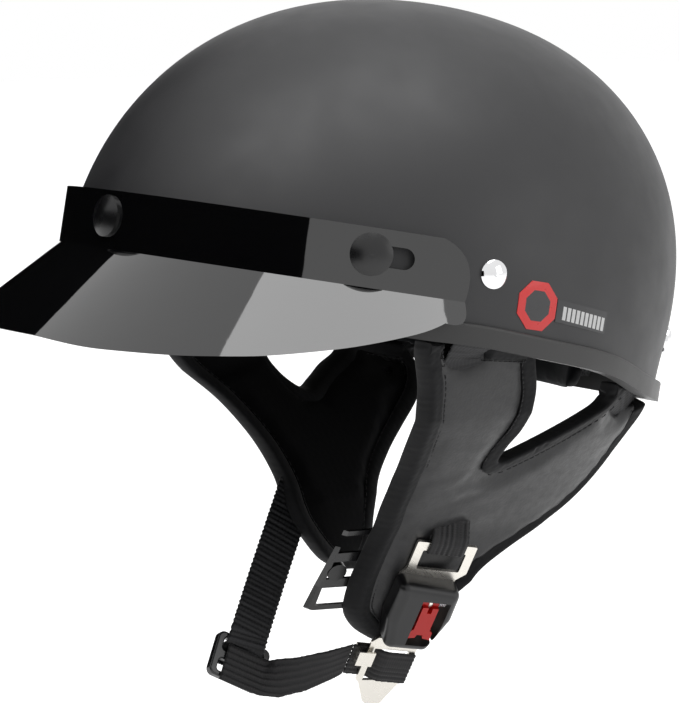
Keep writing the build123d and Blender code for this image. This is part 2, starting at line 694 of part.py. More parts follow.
with BuildPart() as rear_strap_rivets:
    for spot in rear_rivets:
        with BuildSketch(axial(spot)):
            with BuildLine():
                Polyline((0, -RIVET_RISE), (RIVET_HEAD / 2, -RIVET_RISE), (RIVET_HEAD / 2, RIVET_EDGE))
                ThreePointArc(*dome_arc(RIVET_HEAD / 2, RIVET_EDGE, RIVET_RISE))
                Line((0, RIVET_RISE), (0, -RIVET_RISE))
            make_face()
        revolve(axis=Axis(spot.origin, spot.z_dir))
    add(dome_outer, mode=Mode.SUBTRACT)
    for spot in rear_rivets:
        with BuildSketch(spot.offset(-RIVET_TAIL)):
            Circle(RIVET_SHANK / 2)
        extrude(amount=RIVET_TAIL + RIVET_EDGE)
        with BuildSketch(spot.offset(-RIVET_TAIL - RIVET_EDGE)):
            Circle(RIVET_PEEN / 2)
        extrude(amount=RIVET_EDGE)
with BuildPart() as strap_rivet_washers:
    for spot in front_rivets + rear_rivets:
        with BuildSketch(spot.offset(-RIVET_TAIL * 2)):
            Circle(WASHER_SPREAD / 2)
            Circle(RIVET_SHANK / 2 + FACE_GAP, mode=Mode.SUBTRACT)
        extrude(amount=RIVET_TAIL * 2)
    add(washer_outer, mode=Mode.INTERSECT)
    add(washer_inner, mode=Mode.SUBTRACT)

# Snap studs in the shell and their washers inside
with BuildPart() as shell_snap_studs:
    for spot, gap in snap_spots:
        with BuildSketch(axial(spot)):
            with BuildLine():
                Polyline((0, -STUD_TAIL), (STUD_SHANK / 2, -STUD_TAIL), (STUD_SHANK / 2, -STUD_FLANGE_DEPTH),
                         (STUD_FLANGE / 2, -STUD_FLANGE_DEPTH), (STUD_FLANGE / 2, 0), (STUD_NECK / 2, 0),
                         (STUD_HEAD / 2, STUD_RISE / 2), (STUD_HEAD / 2, STUD_RISE * STUD_SHOULDER),
                         (STUD_NECK / 2, STUD_RISE), (0, STUD_RISE), (0, -STUD_TAIL))
            make_face()
        revolve(axis=Axis(spot.origin, spot.z_dir))
        with BuildSketch(spot.offset(-STUD_TAIL - STUD_FLANGE_DEPTH)):
            Circle(STUD_HEAD / 2)
        extrude(amount=STUD_FLANGE_DEPTH)
with BuildPart() as snap_stud_washers:
    for spot, gap in snap_spots:
        with BuildSketch(spot.offset(-RIVET_TAIL * 2)):
            Circle(STUD_FLANGE / 2)
            Circle(STUD_SHANK / 2 + FACE_GAP, mode=Mode.SUBTRACT)
        extrude(amount=RIVET_TAIL * 2)
    add(web_outer, mode=Mode.INTERSECT)
    add(stud_washer_inner, mode=Mode.SUBTRACT)

# Visor: an upright band round the brow, flared below the crease into the brim
with BuildPart() as brim_outer:
    for level, grow in ((VISOR_CREASE, 0), (-BRIM_DROP, BRIM_FLARE)):
        with BuildSketch(HELMET.offset(level)):
            wide = HALF_WIDTH + VISOR_STAND + grow * BRIM_FLARE_SIDE
            Ellipse(wide, HALF_LENGTH + VISOR_STAND + grow)
    loft(ruled=True)
with BuildPart() as brim_inner:
    for level, grow, wall in ((VISOR_CREASE, 0, VISOR_WALL), (-BRIM_DROP, BRIM_FLARE, VISOR_WALL * BRIM_SLANT)):
        with BuildSketch(HELMET.offset(level)):
            wide = HALF_WIDTH + VISOR_STAND + grow * BRIM_FLARE_SIDE - wall
            Ellipse(wide, HALF_LENGTH + VISOR_STAND + grow - wall)
    loft(ruled=True)
with BuildPart() as visor:
    with BuildSketch(HELMET.offset(VISOR_CREASE)):
        Ellipse(HALF_WIDTH + VISOR_STAND, HALF_LENGTH + VISOR_STAND)
        band_reach = VISOR_STAND - VISOR_WALL
        Ellipse(HALF_WIDTH + band_reach, HALF_LENGTH + band_reach, mode=Mode.SUBTRACT)
    extrude(amount=VISOR_TOP - VISOR_CREASE)
    add(brim_outer.part - brim_inner.part)
    brim_edge = scaled(brim_edge_share, HALF_LENGTH, BRIM_DROP)
    tab_edge = scaled(tab_edge_share, HALF_LENGTH, BRIM_DROP)
    with BuildSketch(HELMET_SIDE):
        with BuildLine():
            Spline(brim_edge)
            Spline(tab_edge)
            Polyline(tab_edge[-1], (tab_edge[-1][0], SHELL_WIDTH), (-SHELL_WIDTH, SHELL_WIDTH),
                     (-SHELL_WIDTH, brim_edge[0][1]), brim_edge[0])
        make_face()
    extrude(amount=SHELL_WIDTH, both=True, mode=Mode.INTERSECT)
    for spot, gap in snap_spots[:1]:
        with BuildSketch(spot):
            Circle(SNAP_SHANK / 2 + FACE_GAP)
        extrude(amount=SNAP_CAP, mode=Mode.SUBTRACT)
    for spot, gap in snap_spots[1:]:
        turn = 1 if spot.origin.X > 0 else -1
        with BuildSketch(spot):
            with Locations((turn * SLOT_RUN / 2, 0)):
                SlotCenterToCenter(SLOT_RUN, SLOT_HEIGHT)
        extrude(amount=SNAP_CAP, mode=Mode.SUBTRACT)

# Snap caps outside the visor and socket rings inside it
visor_skin = visor_cylinder(0)
visor_inside = visor_cylinder(VISOR_WALL)
with BuildPart() as visor_snap_caps:
    for spot, gap in snap_spots:
        face = spot.offset(gap)
        with BuildSketch(axial(face)):
            with BuildLine():
                Polyline((0, -VISOR_WALL), (SNAP_CAP / 2, -VISOR_WALL), (SNAP_CAP / 2, SNAP_CAP_EDGE))
                ThreePointArc(*dome_arc(SNAP_CAP / 2, SNAP_CAP_EDGE, SNAP_CAP_RISE))
                Line((0, SNAP_CAP_RISE), (0, -VISOR_WALL))
            make_face()
        revolve(axis=Axis(face.origin, face.z_dir))
    add(visor_skin, mode=Mode.SUBTRACT)
    for spot, gap in snap_spots:
        with BuildSketch(spot.offset(gap - VISOR_WALL)):
            Circle(SNAP_SHANK / 2)
        extrude(amount=VISOR_WALL + SNAP_CAP_EDGE)
with BuildPart() as visor_snap_sockets:
    for spot, gap in snap_spots:
        with BuildSketch(spot):
            Circle(SNAP_RING / 2)
            Circle(STUD_HEAD / 2 + RUN_GAP, mode=Mode.SUBTRACT)
            if abs(spot.origin.X) > SNAP_RING:
                turn = 1 if spot.origin.X > 0 else -1
                with Locations((turn * SNAP_RING / 2, 0)):
                    Rectangle(SNAP_RING, STUD_HEAD + 2 * RUN_GAP, mode=Mode.SUBTRACT)
        extrude(amount=gap)
    add(visor_inside, mode=Mode.INTERSECT)
    add(dome_form(SOFT_GAP), mode=Mode.SUBTRACT)

# Impact foam and comfort linings inside the shell
foam_inner = dome_form(-SHELL_WALL - FOAM_WALL)
liner_outer = dome_form(-SHELL_WALL - FOAM_WALL - FACE_GAP)
liner_inner = dome_form(-SHELL_WALL - FOAM_WALL - LINER_WALL)
pad_outer = dome_form(-SHELL_WALL - FOAM_WALL - LINER_WALL - FACE_GAP)
pad_inner = dome_form(-SHELL_WALL - FOAM_WALL - LINER_WALL - PAD_WALL)
foam_rim = above_rim(TRIM_HEIGHT + SOFT_GAP)
with BuildPart() as eps_liner:
    add(web_outer)
    add(foam_inner, mode=Mode.SUBTRACT)
    add(foam_rim, mode=Mode.INTERSECT)
    for spot in front_rivets + rear_rivets:
        lean = FRONT_WEB_LEAN if spot in front_rivets else REAR_WEB_LEAN
        lean = lean if spot.origin.X > 0 else -lean
        with BuildSketch(leaning(spot, lean).offset(-POCKET_DEPTH)):
            with Locations((0, (WEB_TOP - WEB_CHANNEL_DROP) / 2)):
                Rectangle(WEB_WIDTH + 2 * POCKET_GAP, WEB_TOP + WEB_CHANNEL_DROP + 2 * POCKET_GAP)
        extrude(amount=POCKET_DEPTH * 2, mode=Mode.SUBTRACT)
    for spot, gap in snap_spots:
        with BuildSketch(spot.offset(-POCKET_DEPTH)):
            Circle(STUD_FLANGE / 2 + POCKET_GAP)
        extrude(amount=POCKET_DEPTH * 2, mode=Mode.SUBTRACT)
with BuildPart() as comfort_liner:
    add(liner_outer)
    add(liner_inner, mode=Mode.SUBTRACT)
    add(above_rim(LINER_LIFT), mode=Mode.INTERSECT)
with BuildPart() as crown_pad:
    with BuildSketch(HELMET):
        with Locations((0, CROWN_SHIFT)):
            Ellipse(SHELL_WIDTH * CROWN_PAD_SHARE, SHELL_LENGTH * CROWN_PAD_SHARE)
    extrude(amount=SHELL_LENGTH)
    add(pad_outer, mode=Mode.INTERSECT)
    add(pad_inner, mode=Mode.SUBTRACT)
    add(above_rim(CROWN_HEIGHT / 2), mode=Mode.INTERSECT)
with BuildPart() as brow_pad:
    with BuildSketch(HELMET_FRONT):
        with Locations((0, PAD_RISE)):
            RectangleRounded(SHELL_WIDTH * BROW_SHARE, PAD_TALL, PAD_TALL / 3)
    extrude(amount=SHELL_LENGTH)
    add(pad_outer, mode=Mode.INTERSECT)
    add(pad_inner, mode=Mode.SUBTRACT)
with BuildPart() as nape_pad:
    with BuildSketch(HELMET_FRONT):
        with Locations((0, PAD_RISE - NAPE_FALL)):
            RectangleRounded(SHELL_WIDTH * BROW_SHARE, PAD_TALL, PAD_TALL / 3)
    extrude(amount=-SHELL_LENGTH)
    add(pad_outer, mode=Mode.INTERSECT)
    add(pad_inner, mode=Mode.SUBTRACT)
with BuildPart() as left_side_pad:
    with BuildSketch(HELMET_SIDE):
        with Locations((0, PAD_RISE)):
            RectangleRounded(SHELL_LENGTH * SIDE_SHARE, PAD_TALL, PAD_TALL / 3)
    extrude(amount=SHELL_LENGTH)
    add(pad_outer, mode=Mode.INTERSECT)
    add(pad_inner, mode=Mode.SUBTRACT)
with BuildPart() as right_side_pad:
    add(mirror(left_side_pad.part, about=Plane.YZ, mode=Mode.PRIVATE))

# Size sticker and plain label on the shell's left wall
sticker_skin = dome_form(STICKER_THICK)
with BuildPart() as size_sticker:
    with BuildSketch(HELMET_SIDE):
        with Locations(scaled(sticker_seat_share, HALF_LENGTH, RIM_DROP)[0]):
            RegularPolygon(STICKER_SPREAD / 2, OCTAGON, major_radius=False, rotation=OCTAGON_TURN)
    extrude(amount=SHELL_WIDTH)
    add(sticker_skin, mode=Mode.INTERSECT)
    add(dome_outer, mode=Mode.SUBTRACT)
with BuildPart() as material_label:
    with BuildSketch(HELMET_SIDE):
        with BuildLine():
            Polyline(scaled(label_share, HALF_LENGTH, RIM_DROP), close=True)
        make_face()
    extrude(amount=SHELL_WIDTH)
    add(sticker_skin, mode=Mode.INTERSECT)
    add(dome_outer, mode=Mode.SUBTRACT)

# Left and right ear pads: outer cover, foam behind it, binding round the edge
cover_slab = pad_slab(0, COVER_THICK)
foam_slab = pad_slab(COVER_THICK + FACE_GAP, PAD_THICK)
binding_slab = pad_slab(-BINDING_PROUD, PAD_THICK)
left_whole = pad_region(left_front_share, left_rear_share, left_window_share, 0)
left_core = pad_region(left_front_share, left_rear_share, left_window_share, BINDING_WIDTH)
left_heart = pad_region(left_front_share, left_rear_share, left_window_share, BINDING_WIDTH + FACE_GAP)
right_whole = pad_region(right_front_share, right_rear_share, right_window_share, 0)
right_core = pad_region(right_front_share, right_rear_share, right_window_share, BINDING_WIDTH)
right_heart = pad_region(right_front_share, right_rear_share, right_window_share, BINDING_WIDTH + FACE_GAP)

# Webbing loop that ties the buckle's frame to the left pad, drawn in side view of the buckle
BUCKLE_SIDE = Plane(origin=BUCKLE.origin, x_dir=BUCKLE.y_dir, z_dir=BUCKLE.x_dir)
loop_line = scaled(loop_line_share, HOUSING_LENGTH, HOUSING_LENGTH)
LOOP_AT = LOOP_SHIFT * HOUSING_LENGTH
with BuildPart() as buckle_web_loop:
    with BuildSketch(BUCKLE_SIDE.offset(LOOP_AT)):
        with BuildLine():
            Polyline(loop_line)
        trace(line_width=LOOP_WEB_THICK)
    extrude(amount=LOOP_WEB_WIDTH / 2, both=True)
with BuildPart() as loop_room:
    with BuildSketch(BUCKLE_SIDE.offset(LOOP_AT)):
        with BuildLine():
            Polyline(scaled(loop_room_share, HOUSING_LENGTH, HOUSING_LENGTH), close=True)
        make_face()
    extrude(amount=LOOP_WEB_WIDTH / 2 + SOFT_GAP, both=True)

# Webbing over the slide's top bar, drawn in side view of the slide
SLIDE_SIDE = Plane(origin=SLIDE.origin, x_dir=SLIDE.y_dir, z_dir=SLIDE.x_dir)
slide_line = scaled(slide_line_share, SLIDE_WIDTH, SLIDE_WIDTH)
chin_points = [tuple(value * HARNESS_DROP for value in point) for point in chin_path_share]
slide_top = SLIDE_SIDE.from_local_coords((slide_line[0][0], slide_line[0][1], 0))
chin_stations = [(point, SLIDE_ACROSS, turn) for point, turn in zip(chin_points, chin_turns)]
chin_stations.append((slide_top, SLIDE_ACROSS, -SLIDE.y_dir))
with BuildPart() as right_chin_strap:
    add(ribbon(chin_stations, WEB_WIDTH, WEB_THICK))
    with BuildSketch(SLIDE_SIDE):
        with BuildLine():
            Polyline(slide_line)
        trace(line_width=WEB_THICK)
    extrude(amount=WEB_WIDTH / 2, both=True)
chin_room = ribbon(chin_stations, WEB_WIDTH + SOFT_GAP, WEB_THICK + 2 * FACE_GAP)

with BuildPart() as left_pad_cover:
    add(cover_slab)
    add(left_heart, mode=Mode.INTERSECT)
    add(left_front_parts[3], mode=Mode.SUBTRACT)
    add(left_rear_parts[3], mode=Mode.SUBTRACT)
    add(loop_room.part, mode=Mode.SUBTRACT)
with BuildPart() as left_pad_foam:
    add(foam_slab)
    add(left_heart, mode=Mode.INTERSECT)
    add(left_front_parts[4], mode=Mode.SUBTRACT)
    add(left_rear_parts[4], mode=Mode.SUBTRACT)
    add(loop_room.part, mode=Mode.SUBTRACT)
with BuildPart() as left_pad_binding:
    add(binding_slab)
    add(left_whole, mode=Mode.INTERSECT)
    add(left_core, mode=Mode.SUBTRACT)
    add(left_front_parts[3], mode=Mode.SUBTRACT)
    add(left_rear_parts[3], mode=Mode.SUBTRACT)
with BuildPart() as right_pad_cover:
    add(cover_slab)
    add(right_heart, mode=Mode.INTERSECT)
    add(right_front_parts[3], mode=Mode.SUBTRACT)
    add(right_rear_parts[3], mode=Mode.SUBTRACT)
    mirror(about=Plane.YZ, mode=Mode.REPLACE)
    add(chin_room, mode=Mode.SUBTRACT)
with BuildPart() as right_pad_foam:
    add(foam_slab)
    add(right_heart, mode=Mode.INTERSECT)
    add(right_front_parts[4], mode=Mode.SUBTRACT)
    add(right_rear_parts[4], mode=Mode.SUBTRACT)
    mirror(about=Plane.YZ, mode=Mode.REPLACE)
    add(chin_room, mode=Mode.SUBTRACT)
with BuildPart() as right_pad_binding:
    add(binding_slab)
    add(right_whole, mode=Mode.INTERSECT)
    add(right_core, mode=Mode.SUBTRACT)
    add(right_front_parts[3], mode=Mode.SUBTRACT)
    add(right_rear_parts[3], mode=Mode.SUBTRACT)
    mirror(about=Plane.YZ, mode=Mode.REPLACE)
    add(chin_room, mode=Mode.SUBTRACT)

# Buckle: levels above the pad in the buckle's own frame
FRAME_LEVEL = BACK_LEVEL + FRAME_THICK
TONGUE_LEVEL = FRAME_LEVEL + RUN_GAP
housing_outline = scaled(housing_outline_share, HOUSING_LENGTH, HOUSING_LENGTH)
with BuildPart() as buckle_frame:
    with BuildSketch(BUCKLE.offset(BACK_LEVEL)):
        with BuildLine():
            Polyline(scaled(frame_outline_share, HOUSING_LENGTH, HOUSING_LENGTH), close=True)
        make_face()
        fillet(vertices(), radius=FRAME_ROUND)
        with Locations(scaled(frame_slot_seat_share, HOUSING_LENGTH, HOUSING_LENGTH)[0]):
            RectangleRounded(FRAME_SLOT_WIDTH, FRAME_SLOT_HEIGHT, FRAME_ROUND, mode=Mode.SUBTRACT)
        with Locations(scaled(buckle_rivet_share, HOUSING_LENGTH, HOUSING_LENGTH)):
            Circle(BUCKLE_RIVET / 2 + FACE_GAP, mode=Mode.SUBTRACT)
    extrude(amount=FRAME_THICK)
with BuildPart() as buckle_back:
    with BuildSketch(BUCKLE.offset(-BACK_FLOOR)):
        with BuildLine():
            Polyline(housing_outline, close=True)
        make_face()
        fillet(vertices(), radius=HOUSING_CORNER)
    extrude(amount=BACK_FLOOR + BACK_LEVEL)
    add(pad_slab(-FACE_GAP, HOUSING_LENGTH), mode=Mode.SUBTRACT)
    add(left_pad_binding.part, mode=Mode.SUBTRACT)
    with BuildSketch(BUCKLE.offset(BACK_LEVEL - BUCKLE_RIVET_HEAD)):
        with Locations(scaled(buckle_rivet_share, HOUSING_LENGTH, HOUSING_LENGTH)):
            Circle(BUCKLE_RIVET + FACE_GAP)
    extrude(amount=HOUSING_DEPTH, mode=Mode.SUBTRACT)
with BuildPart() as buckle_rivets:
    with BuildSketch(BUCKLE.offset(BACK_LEVEL - BUCKLE_RIVET_HEAD)):
        with Locations(scaled(buckle_rivet_share, HOUSING_LENGTH, HOUSING_LENGTH)):
            Circle(BUCKLE_RIVET)
    extrude(amount=BUCKLE_RIVET_HEAD)
    with BuildSketch(BUCKLE.offset(BACK_LEVEL)):
        with Locations(scaled(buckle_rivet_share, HOUSING_LENGTH, HOUSING_LENGTH)):
            Circle(BUCKLE_RIVET / 2)
    extrude(amount=HOUSING_DEPTH / 2)
pin_up, pin_level = scaled(pin_seat_share, HOUSING_LENGTH, HOUSING_LENGTH)[0]
bay_left, bay_right = (value * HOUSING_LENGTH for value in bay_across_share)
bay_low, bay_high = (value * HOUSING_LENGTH for value in bay_up_share)
with BuildPart() as buckle_housing:
    with BuildSketch(BUCKLE.offset(FRAME_LEVEL + FACE_GAP)):
        with BuildLine():
            Polyline(housing_outline, close=True)
        make_face()
        fillet(vertices(), radius=HOUSING_CORNER)
    extrude(amount=HOUSING_DEPTH - FRAME_LEVEL - FACE_GAP)
    housing_top = buckle_housing.faces().sort_by(Axis(BUCKLE.origin, BUCKLE.z_dir))[-1]
    fillet(housing_top.edges(), radius=HOUSING_ROUND)
    with BuildSketch(BUCKLE.offset(FRAME_LEVEL)):
        with Locations((TONGUE_SHIFT * HOUSING_LENGTH, -HOUSING_LENGTH / 2)):
            Rectangle(TONGUE_WIDTH + 2 * SOFT_GAP, HOUSING_LENGTH)
    extrude(amount=TONGUE_THICK + 2 * RUN_GAP + FACE_GAP, mode=Mode.SUBTRACT)
    with BuildSketch(BUCKLE.offset(FRAME_LEVEL)):
        with Locations(((bay_left + bay_right) / 2, (bay_low + bay_high) / 2)):
            Rectangle(bay_right - bay_left, bay_high - bay_low)
    extrude(amount=HOUSING_DEPTH, mode=Mode.SUBTRACT)
    with BuildSketch(BUCKLE_SIDE.offset(bay_left - PIN_SEAT)):
        with Locations((pin_up, pin_level)):
            Circle(PIN_WIDTH / 2 + FACE_GAP)
    extrude(amount=bay_right - bay_left + 2 * PIN_SEAT, mode=Mode.SUBTRACT)
    with BuildSketch(BUCKLE.offset(FRAME_LEVEL)):
        with Locations(scaled(buckle_rivet_share, HOUSING_LENGTH, HOUSING_LENGTH)):
            Circle(BUCKLE_RIVET / 2 + FACE_GAP)
    extrude(amount=HOUSING_DEPTH / 2, mode=Mode.SUBTRACT)
with BuildPart() as lever_pin:
    with BuildSketch(BUCKLE_SIDE.offset(bay_left - PIN_SEAT + FACE_GAP)):
        with Locations((pin_up, pin_level)):
            Circle(PIN_WIDTH / 2)
    extrude(amount=bay_right - bay_left + 2 * PIN_SEAT - 2 * FACE_GAP)

# Red release lever with two ears on the pin and a two-pronged finger end
with BuildPart() as release_lever:
    with BuildSketch(BUCKLE.offset(LEVER_LEVEL)):
        with BuildLine():
            Polyline(scaled(lever_outline_share, HOUSING_LENGTH, HOUSING_LENGTH), close=True)
        make_face()
    extrude(amount=LEVER_THICK)
    for low, high in lever_ear_share:
        with BuildSketch(BUCKLE_SIDE.offset(low * HOUSING_LENGTH)):
            with Locations((pin_up, pin_level)):
                Circle(PIN_WIDTH / 2 + PIN_EYE)
        extrude(amount=(high - low) * HOUSING_LENGTH)
    with BuildSketch(BUCKLE_SIDE.offset(bay_left)):
        with Locations((pin_up, pin_level)):
            Circle(PIN_WIDTH / 2 + RUN_GAP)
    extrude(amount=bay_right - bay_left, mode=Mode.SUBTRACT)

# Steel latch pawl on the same pin, its tooth in the tongue's latch window
with BuildPart() as latch_pawl:
    with BuildSketch(BUCKLE.offset(PAWL_LEVEL)):
        with BuildLine():
            Polyline(scaled(pawl_outline_share, HOUSING_LENGTH, HOUSING_LENGTH), close=True)
        make_face()
    extrude(amount=PAWL_THICK)
    pawl_low, pawl_high = (value * HOUSING_LENGTH for value in pawl_eye_share)
    with BuildSketch(BUCKLE_SIDE.offset(pawl_low)):
        with Locations((pin_up, pin_level)):
            Circle(PIN_WIDTH / 2 + PIN_EYE)
    extrude(amount=pawl_high - pawl_low)
    with BuildSketch(BUCKLE.offset(TONGUE_LEVEL + TONGUE_THICK - PAWL_BITE)):
        with BuildLine():
            Polyline(scaled(pawl_tooth_share, HOUSING_LENGTH, HOUSING_LENGTH), close=True)
        make_face()
    extrude(amount=PAWL_LEVEL + PAWL_THICK / 2 - TONGUE_LEVEL - TONGUE_THICK + PAWL_BITE)
    with BuildSketch(BUCKLE_SIDE.offset(bay_left)):
        with Locations((pin_up, pin_level)):
            Circle(PIN_WIDTH / 2 + RUN_GAP)
    extrude(amount=bay_right - bay_left, mode=Mode.SUBTRACT)

# Return spring coiled on the pin beside the lever
spring_side = BUCKLE_SIDE.offset(spring_seat_share[0] * HOUSING_LENGTH)
spring_at = spring_side.from_local_coords((pin_up, pin_level, 0))
SPRING_AXIS = Plane(origin=spring_at, x_dir=BUCKLE_SIDE.x_dir, z_dir=BUCKLE_SIDE.z_dir)
coil = Helix(SPRING_PITCH, SPRING_PITCH * SPRING_TURNS, PIN_WIDTH / 2 + FACE_GAP + SPRING_WIRE / 2)
coil = SPRING_AXIS.location * coil
with BuildPart() as lever_spring:
    with BuildSketch(Plane(origin=coil @ 0, z_dir=coil % 0)):
        Circle(SPRING_WIRE / 2)
    sweep(path=coil)

# Steel tongue, its keeper clip and the webbing folded through its window
with BuildPart() as tongue_plate:
    with BuildSketch(BUCKLE.offset(TONGUE_LEVEL)):
        with BuildLine():
            Polyline(scaled(tongue_outline_share, HOUSING_LENGTH, HOUSING_LENGTH), close=True)
        make_face()
        with BuildLine():
            Polyline(scaled(tongue_window_share, HOUSING_LENGTH, HOUSING_LENGTH), close=True)
        make_face(mode=Mode.SUBTRACT)
        with BuildLine():
            Polyline(scaled(latch_window_share, HOUSING_LENGTH, HOUSING_LENGTH), close=True)
        make_face(mode=Mode.SUBTRACT)
    extrude(amount=TONGUE_THICK)
BUCKLE_PLAN = Plane(origin=BUCKLE.origin, x_dir=BUCKLE.x_dir, z_dir=-BUCKLE.y_dir)
web_line = scaled(tongue_web_line_share, HOUSING_LENGTH, HOUSING_LENGTH)
web_drop = TONGUE_WEB_DROP * HOUSING_LENGTH
with BuildPart() as tongue_keeper:
    with BuildSketch(BUCKLE_PLAN.offset(web_drop - KEEPER_SHIFT)):
        with BuildLine():
            Polyline(scaled(keeper_line_share, HOUSING_LENGTH, HOUSING_LENGTH))
        trace(line_width=KEEPER_THICK)
    extrude(amount=KEEPER_WIDTH / 2, both=True)
with BuildPart() as tongue_webbing:
    with BuildSketch(BUCKLE_PLAN.offset(web_drop)):
        with BuildLine():
            Polyline(web_line)
        trace(line_width=LOOP_WEB_THICK)
    extrude(amount=LOOP_WEB_WIDTH / 2, both=True)
    add(tongue_keeper.part, mode=Mode.SUBTRACT)

# Chin strap run from the tongue to the slide
slide_end = []
for point in slide_end_share:
    across, up, out = (value * SLIDE_WIDTH for value in point)
    slide_end.append((SLIDE.from_local_coords((across, up, out)), SLIDE.y_dir, -SLIDE.x_dir))
tongue_end = []
for point in tongue_end_share:
    across, up, out = (value * HOUSING_LENGTH for value in point)
    tongue_end.append((BUCKLE.from_local_coords((across, up, out)), BUCKLE.y_dir, -BUCKLE.x_dir))
run_points = [tuple(value * HARNESS_DROP for value in point) for point in run_path_share]
run_stations = tongue_end + list(zip(run_points, run_across, run_turns)) + slide_end
with BuildPart() as chin_strap_run:
    add(ribbon(run_stations, LOOP_WEB_WIDTH, WEB_THICK))

# Three-bar plastic slide at the bend of the chin strap
with BuildPart() as strap_slide:
    with BuildSketch(SLIDE.offset(-SLIDE_THICK / 2)):
        RectangleRounded(SLIDE_WIDTH, SLIDE_HEIGHT, SLIDE_CORNER)
        with Locations((0, SLIDE_SLOT_SEAT), (0, -SLIDE_SLOT_SEAT)):
            RectangleRounded(SLIDE_SLOT_WIDTH, SLIDE_SLOT_HEIGHT, SLIDE_SLOT_HEIGHT / 4, mode=Mode.SUBTRACT)
    extrude(amount=SLIDE_THICK)
    fillet(strap_slide.edges().filter_by(SLIDE), radius=SLIDE_EDGE)

# Ladder strap divider on the inner face of the left pad, with one domed rivet
divider_slab = pad_slab(PAD_THICK + FACE_GAP, PAD_THICK + DIVIDER_THICK)
divider_y, divider_z = scaled(divider_seat_share, HARNESS_DROP, HARNESS_DROP)[0]
with BuildPart() as strap_divider:
    with BuildSketch(SIDE):
        with Locations((divider_y, divider_z)):
            RectangleRounded(DIVIDER_WIDTH, DIVIDER_HEIGHT, DIVIDER_BAR)
            for row in divider_row_share:
                with Locations((0, row * DIVIDER_HEIGHT)):
                    slot_width = DIVIDER_WIDTH - 2 * DIVIDER_BAR
                    Rectangle(slot_width, DIVIDER_HEIGHT * DIVIDER_SLOT, mode=Mode.SUBTRACT)
    extrude(amount=SHELL_WIDTH)
    add(divider_slab, mode=Mode.INTERSECT)
rivet_y, rivet_z = scaled(divider_rivet_share, HARNESS_DROP, HARNESS_DROP)[0]
rivet_face = Vector(*pad_point(rivet_y, rivet_z, PAD_THICK + DIVIDER_THICK))
rivet_out = Vector(*DIVIDER_FACING)
RIVET_SPOT = Plane(origin=rivet_face, z_dir=rivet_out)
with BuildPart() as divider_rivet:
    with BuildSketch(axial(RIVET_SPOT)):
        with BuildLine():
            Polyline((0, -DIVIDER_THICK), (DIVIDER_RIVET / 2, -DIVIDER_THICK), (DIVIDER_RIVET / 2, RIVET_EDGE))
            ThreePointArc(*dome_arc(DIVIDER_RIVET / 2, RIVET_EDGE, RIVET_RISE))
            Line((0, RIVET_RISE), (0, -DIVIDER_THICK))
        make_face()
    revolve(axis=Axis(RIVET_SPOT.origin, RIVET_SPOT.z_dir))
    add(strap_divider.part, mode=Mode.SUBTRACT)

# Piece files
outer_shell.part.label = "outer_shell"
export_step(outer_shell.part, "parts/outer_shell.step")
edge_trim.part.label = "edge_trim"
export_step(edge_trim.part, "parts/edge_trim.step")
eps_liner.part.label = "eps_liner"
export_step(eps_liner.part, "parts/eps_liner.step")
comfort_liner.part.label = "comfort_liner"
export_step(comfort_liner.part, "parts/comfort_liner.step")
crown_pad.part.label = "crown_pad"
export_step(crown_pad.part, "parts/crown_pad.step")
brow_pad.part.label = "brow_pad"
export_step(brow_pad.part, "parts/brow_pad.step")
nape_pad.part.label = "nape_pad"
export_step(nape_pad.part, "parts/nape_pad.step")
left_side_pad.part.label = "left_side_pad"
export_step(left_side_pad.part, "parts/left_side_pad.step")
right_side_pad.part.label = "right_side_pad"
export_step(right_side_pad.part, "parts/right_side_pad.step")
visor.part.label = "visor"
export_step(visor.part, "parts/visor.step")
visor_snap_caps.part.label = "visor_snap_caps"
export_step(visor_snap_caps.part, "parts/visor_snap_caps.step")
visor_snap_sockets.part.label = "visor_snap_sockets"
export_step(visor_snap_sockets.part, "parts/visor_snap_sockets.step")
shell_snap_studs.part.label = "shell_snap_studs"
export_step(shell_snap_studs.part, "parts/shell_snap_studs.step")
snap_stud_washers.part.label = "snap_stud_washers"
export_step(snap_stud_washers.part, "parts/snap_stud_washers.step")
front_strap_rivets.part.label = "front_strap_rivets"
export_step(front_strap_rivets.part, "parts/front_strap_rivets.step")
rear_strap_rivets.part.label = "rear_strap_rivets"
export_step(rear_strap_rivets.part, "parts/rear_strap_rivets.step")
strap_rivet_washers.part.label = "strap_rivet_washers"
export_step(strap_rivet_washers.part, "parts/strap_rivet_washers.step")
left_front_strap.part.label = "left_front_strap"
export_step(left_front_strap.part, "parts/left_front_strap.step")
right_front_strap.part.label = "right_front_strap"
export_step(right_front_strap.part, "parts/right_front_strap.step")
left_rear_strap.part.label = "left_rear_strap"
export_step(left_rear_strap.part, "parts/left_rear_strap.step")
right_rear_strap.part.label = "right_rear_strap"
export_step(right_rear_strap.part, "parts/right_rear_strap.step")
left_pad_cover.part.label = "left_pad_cover"
export_step(left_pad_cover.part, "parts/left_pad_cover.step")
left_pad_foam.part.label = "left_pad_foam"
export_step(left_pad_foam.part, "parts/left_pad_foam.step")
left_pad_binding.part.label = "left_pad_binding"
export_step(left_pad_binding.part, "parts/left_pad_binding.step")
right_pad_cover.part.label = "right_pad_cover"
export_step(right_pad_cover.part, "parts/right_pad_cover.step")
right_pad_foam.part.label = "right_pad_foam"
export_step(right_pad_foam.part, "parts/right_pad_foam.step")
right_pad_binding.part.label = "right_pad_binding"
export_step(right_pad_binding.part, "parts/right_pad_binding.step")
buckle_web_loop.part.label = "buckle_web_loop"
export_step(buckle_web_loop.part, "parts/buckle_web_loop.step")
buckle_frame.part.label = "buckle_frame"
export_step(buckle_frame.part, "parts/buckle_frame.step")
buckle_back.part.label = "buckle_back"
export_step(buckle_back.part, "parts/buckle_back.step")
buckle_housing.part.label = "buckle_housing"
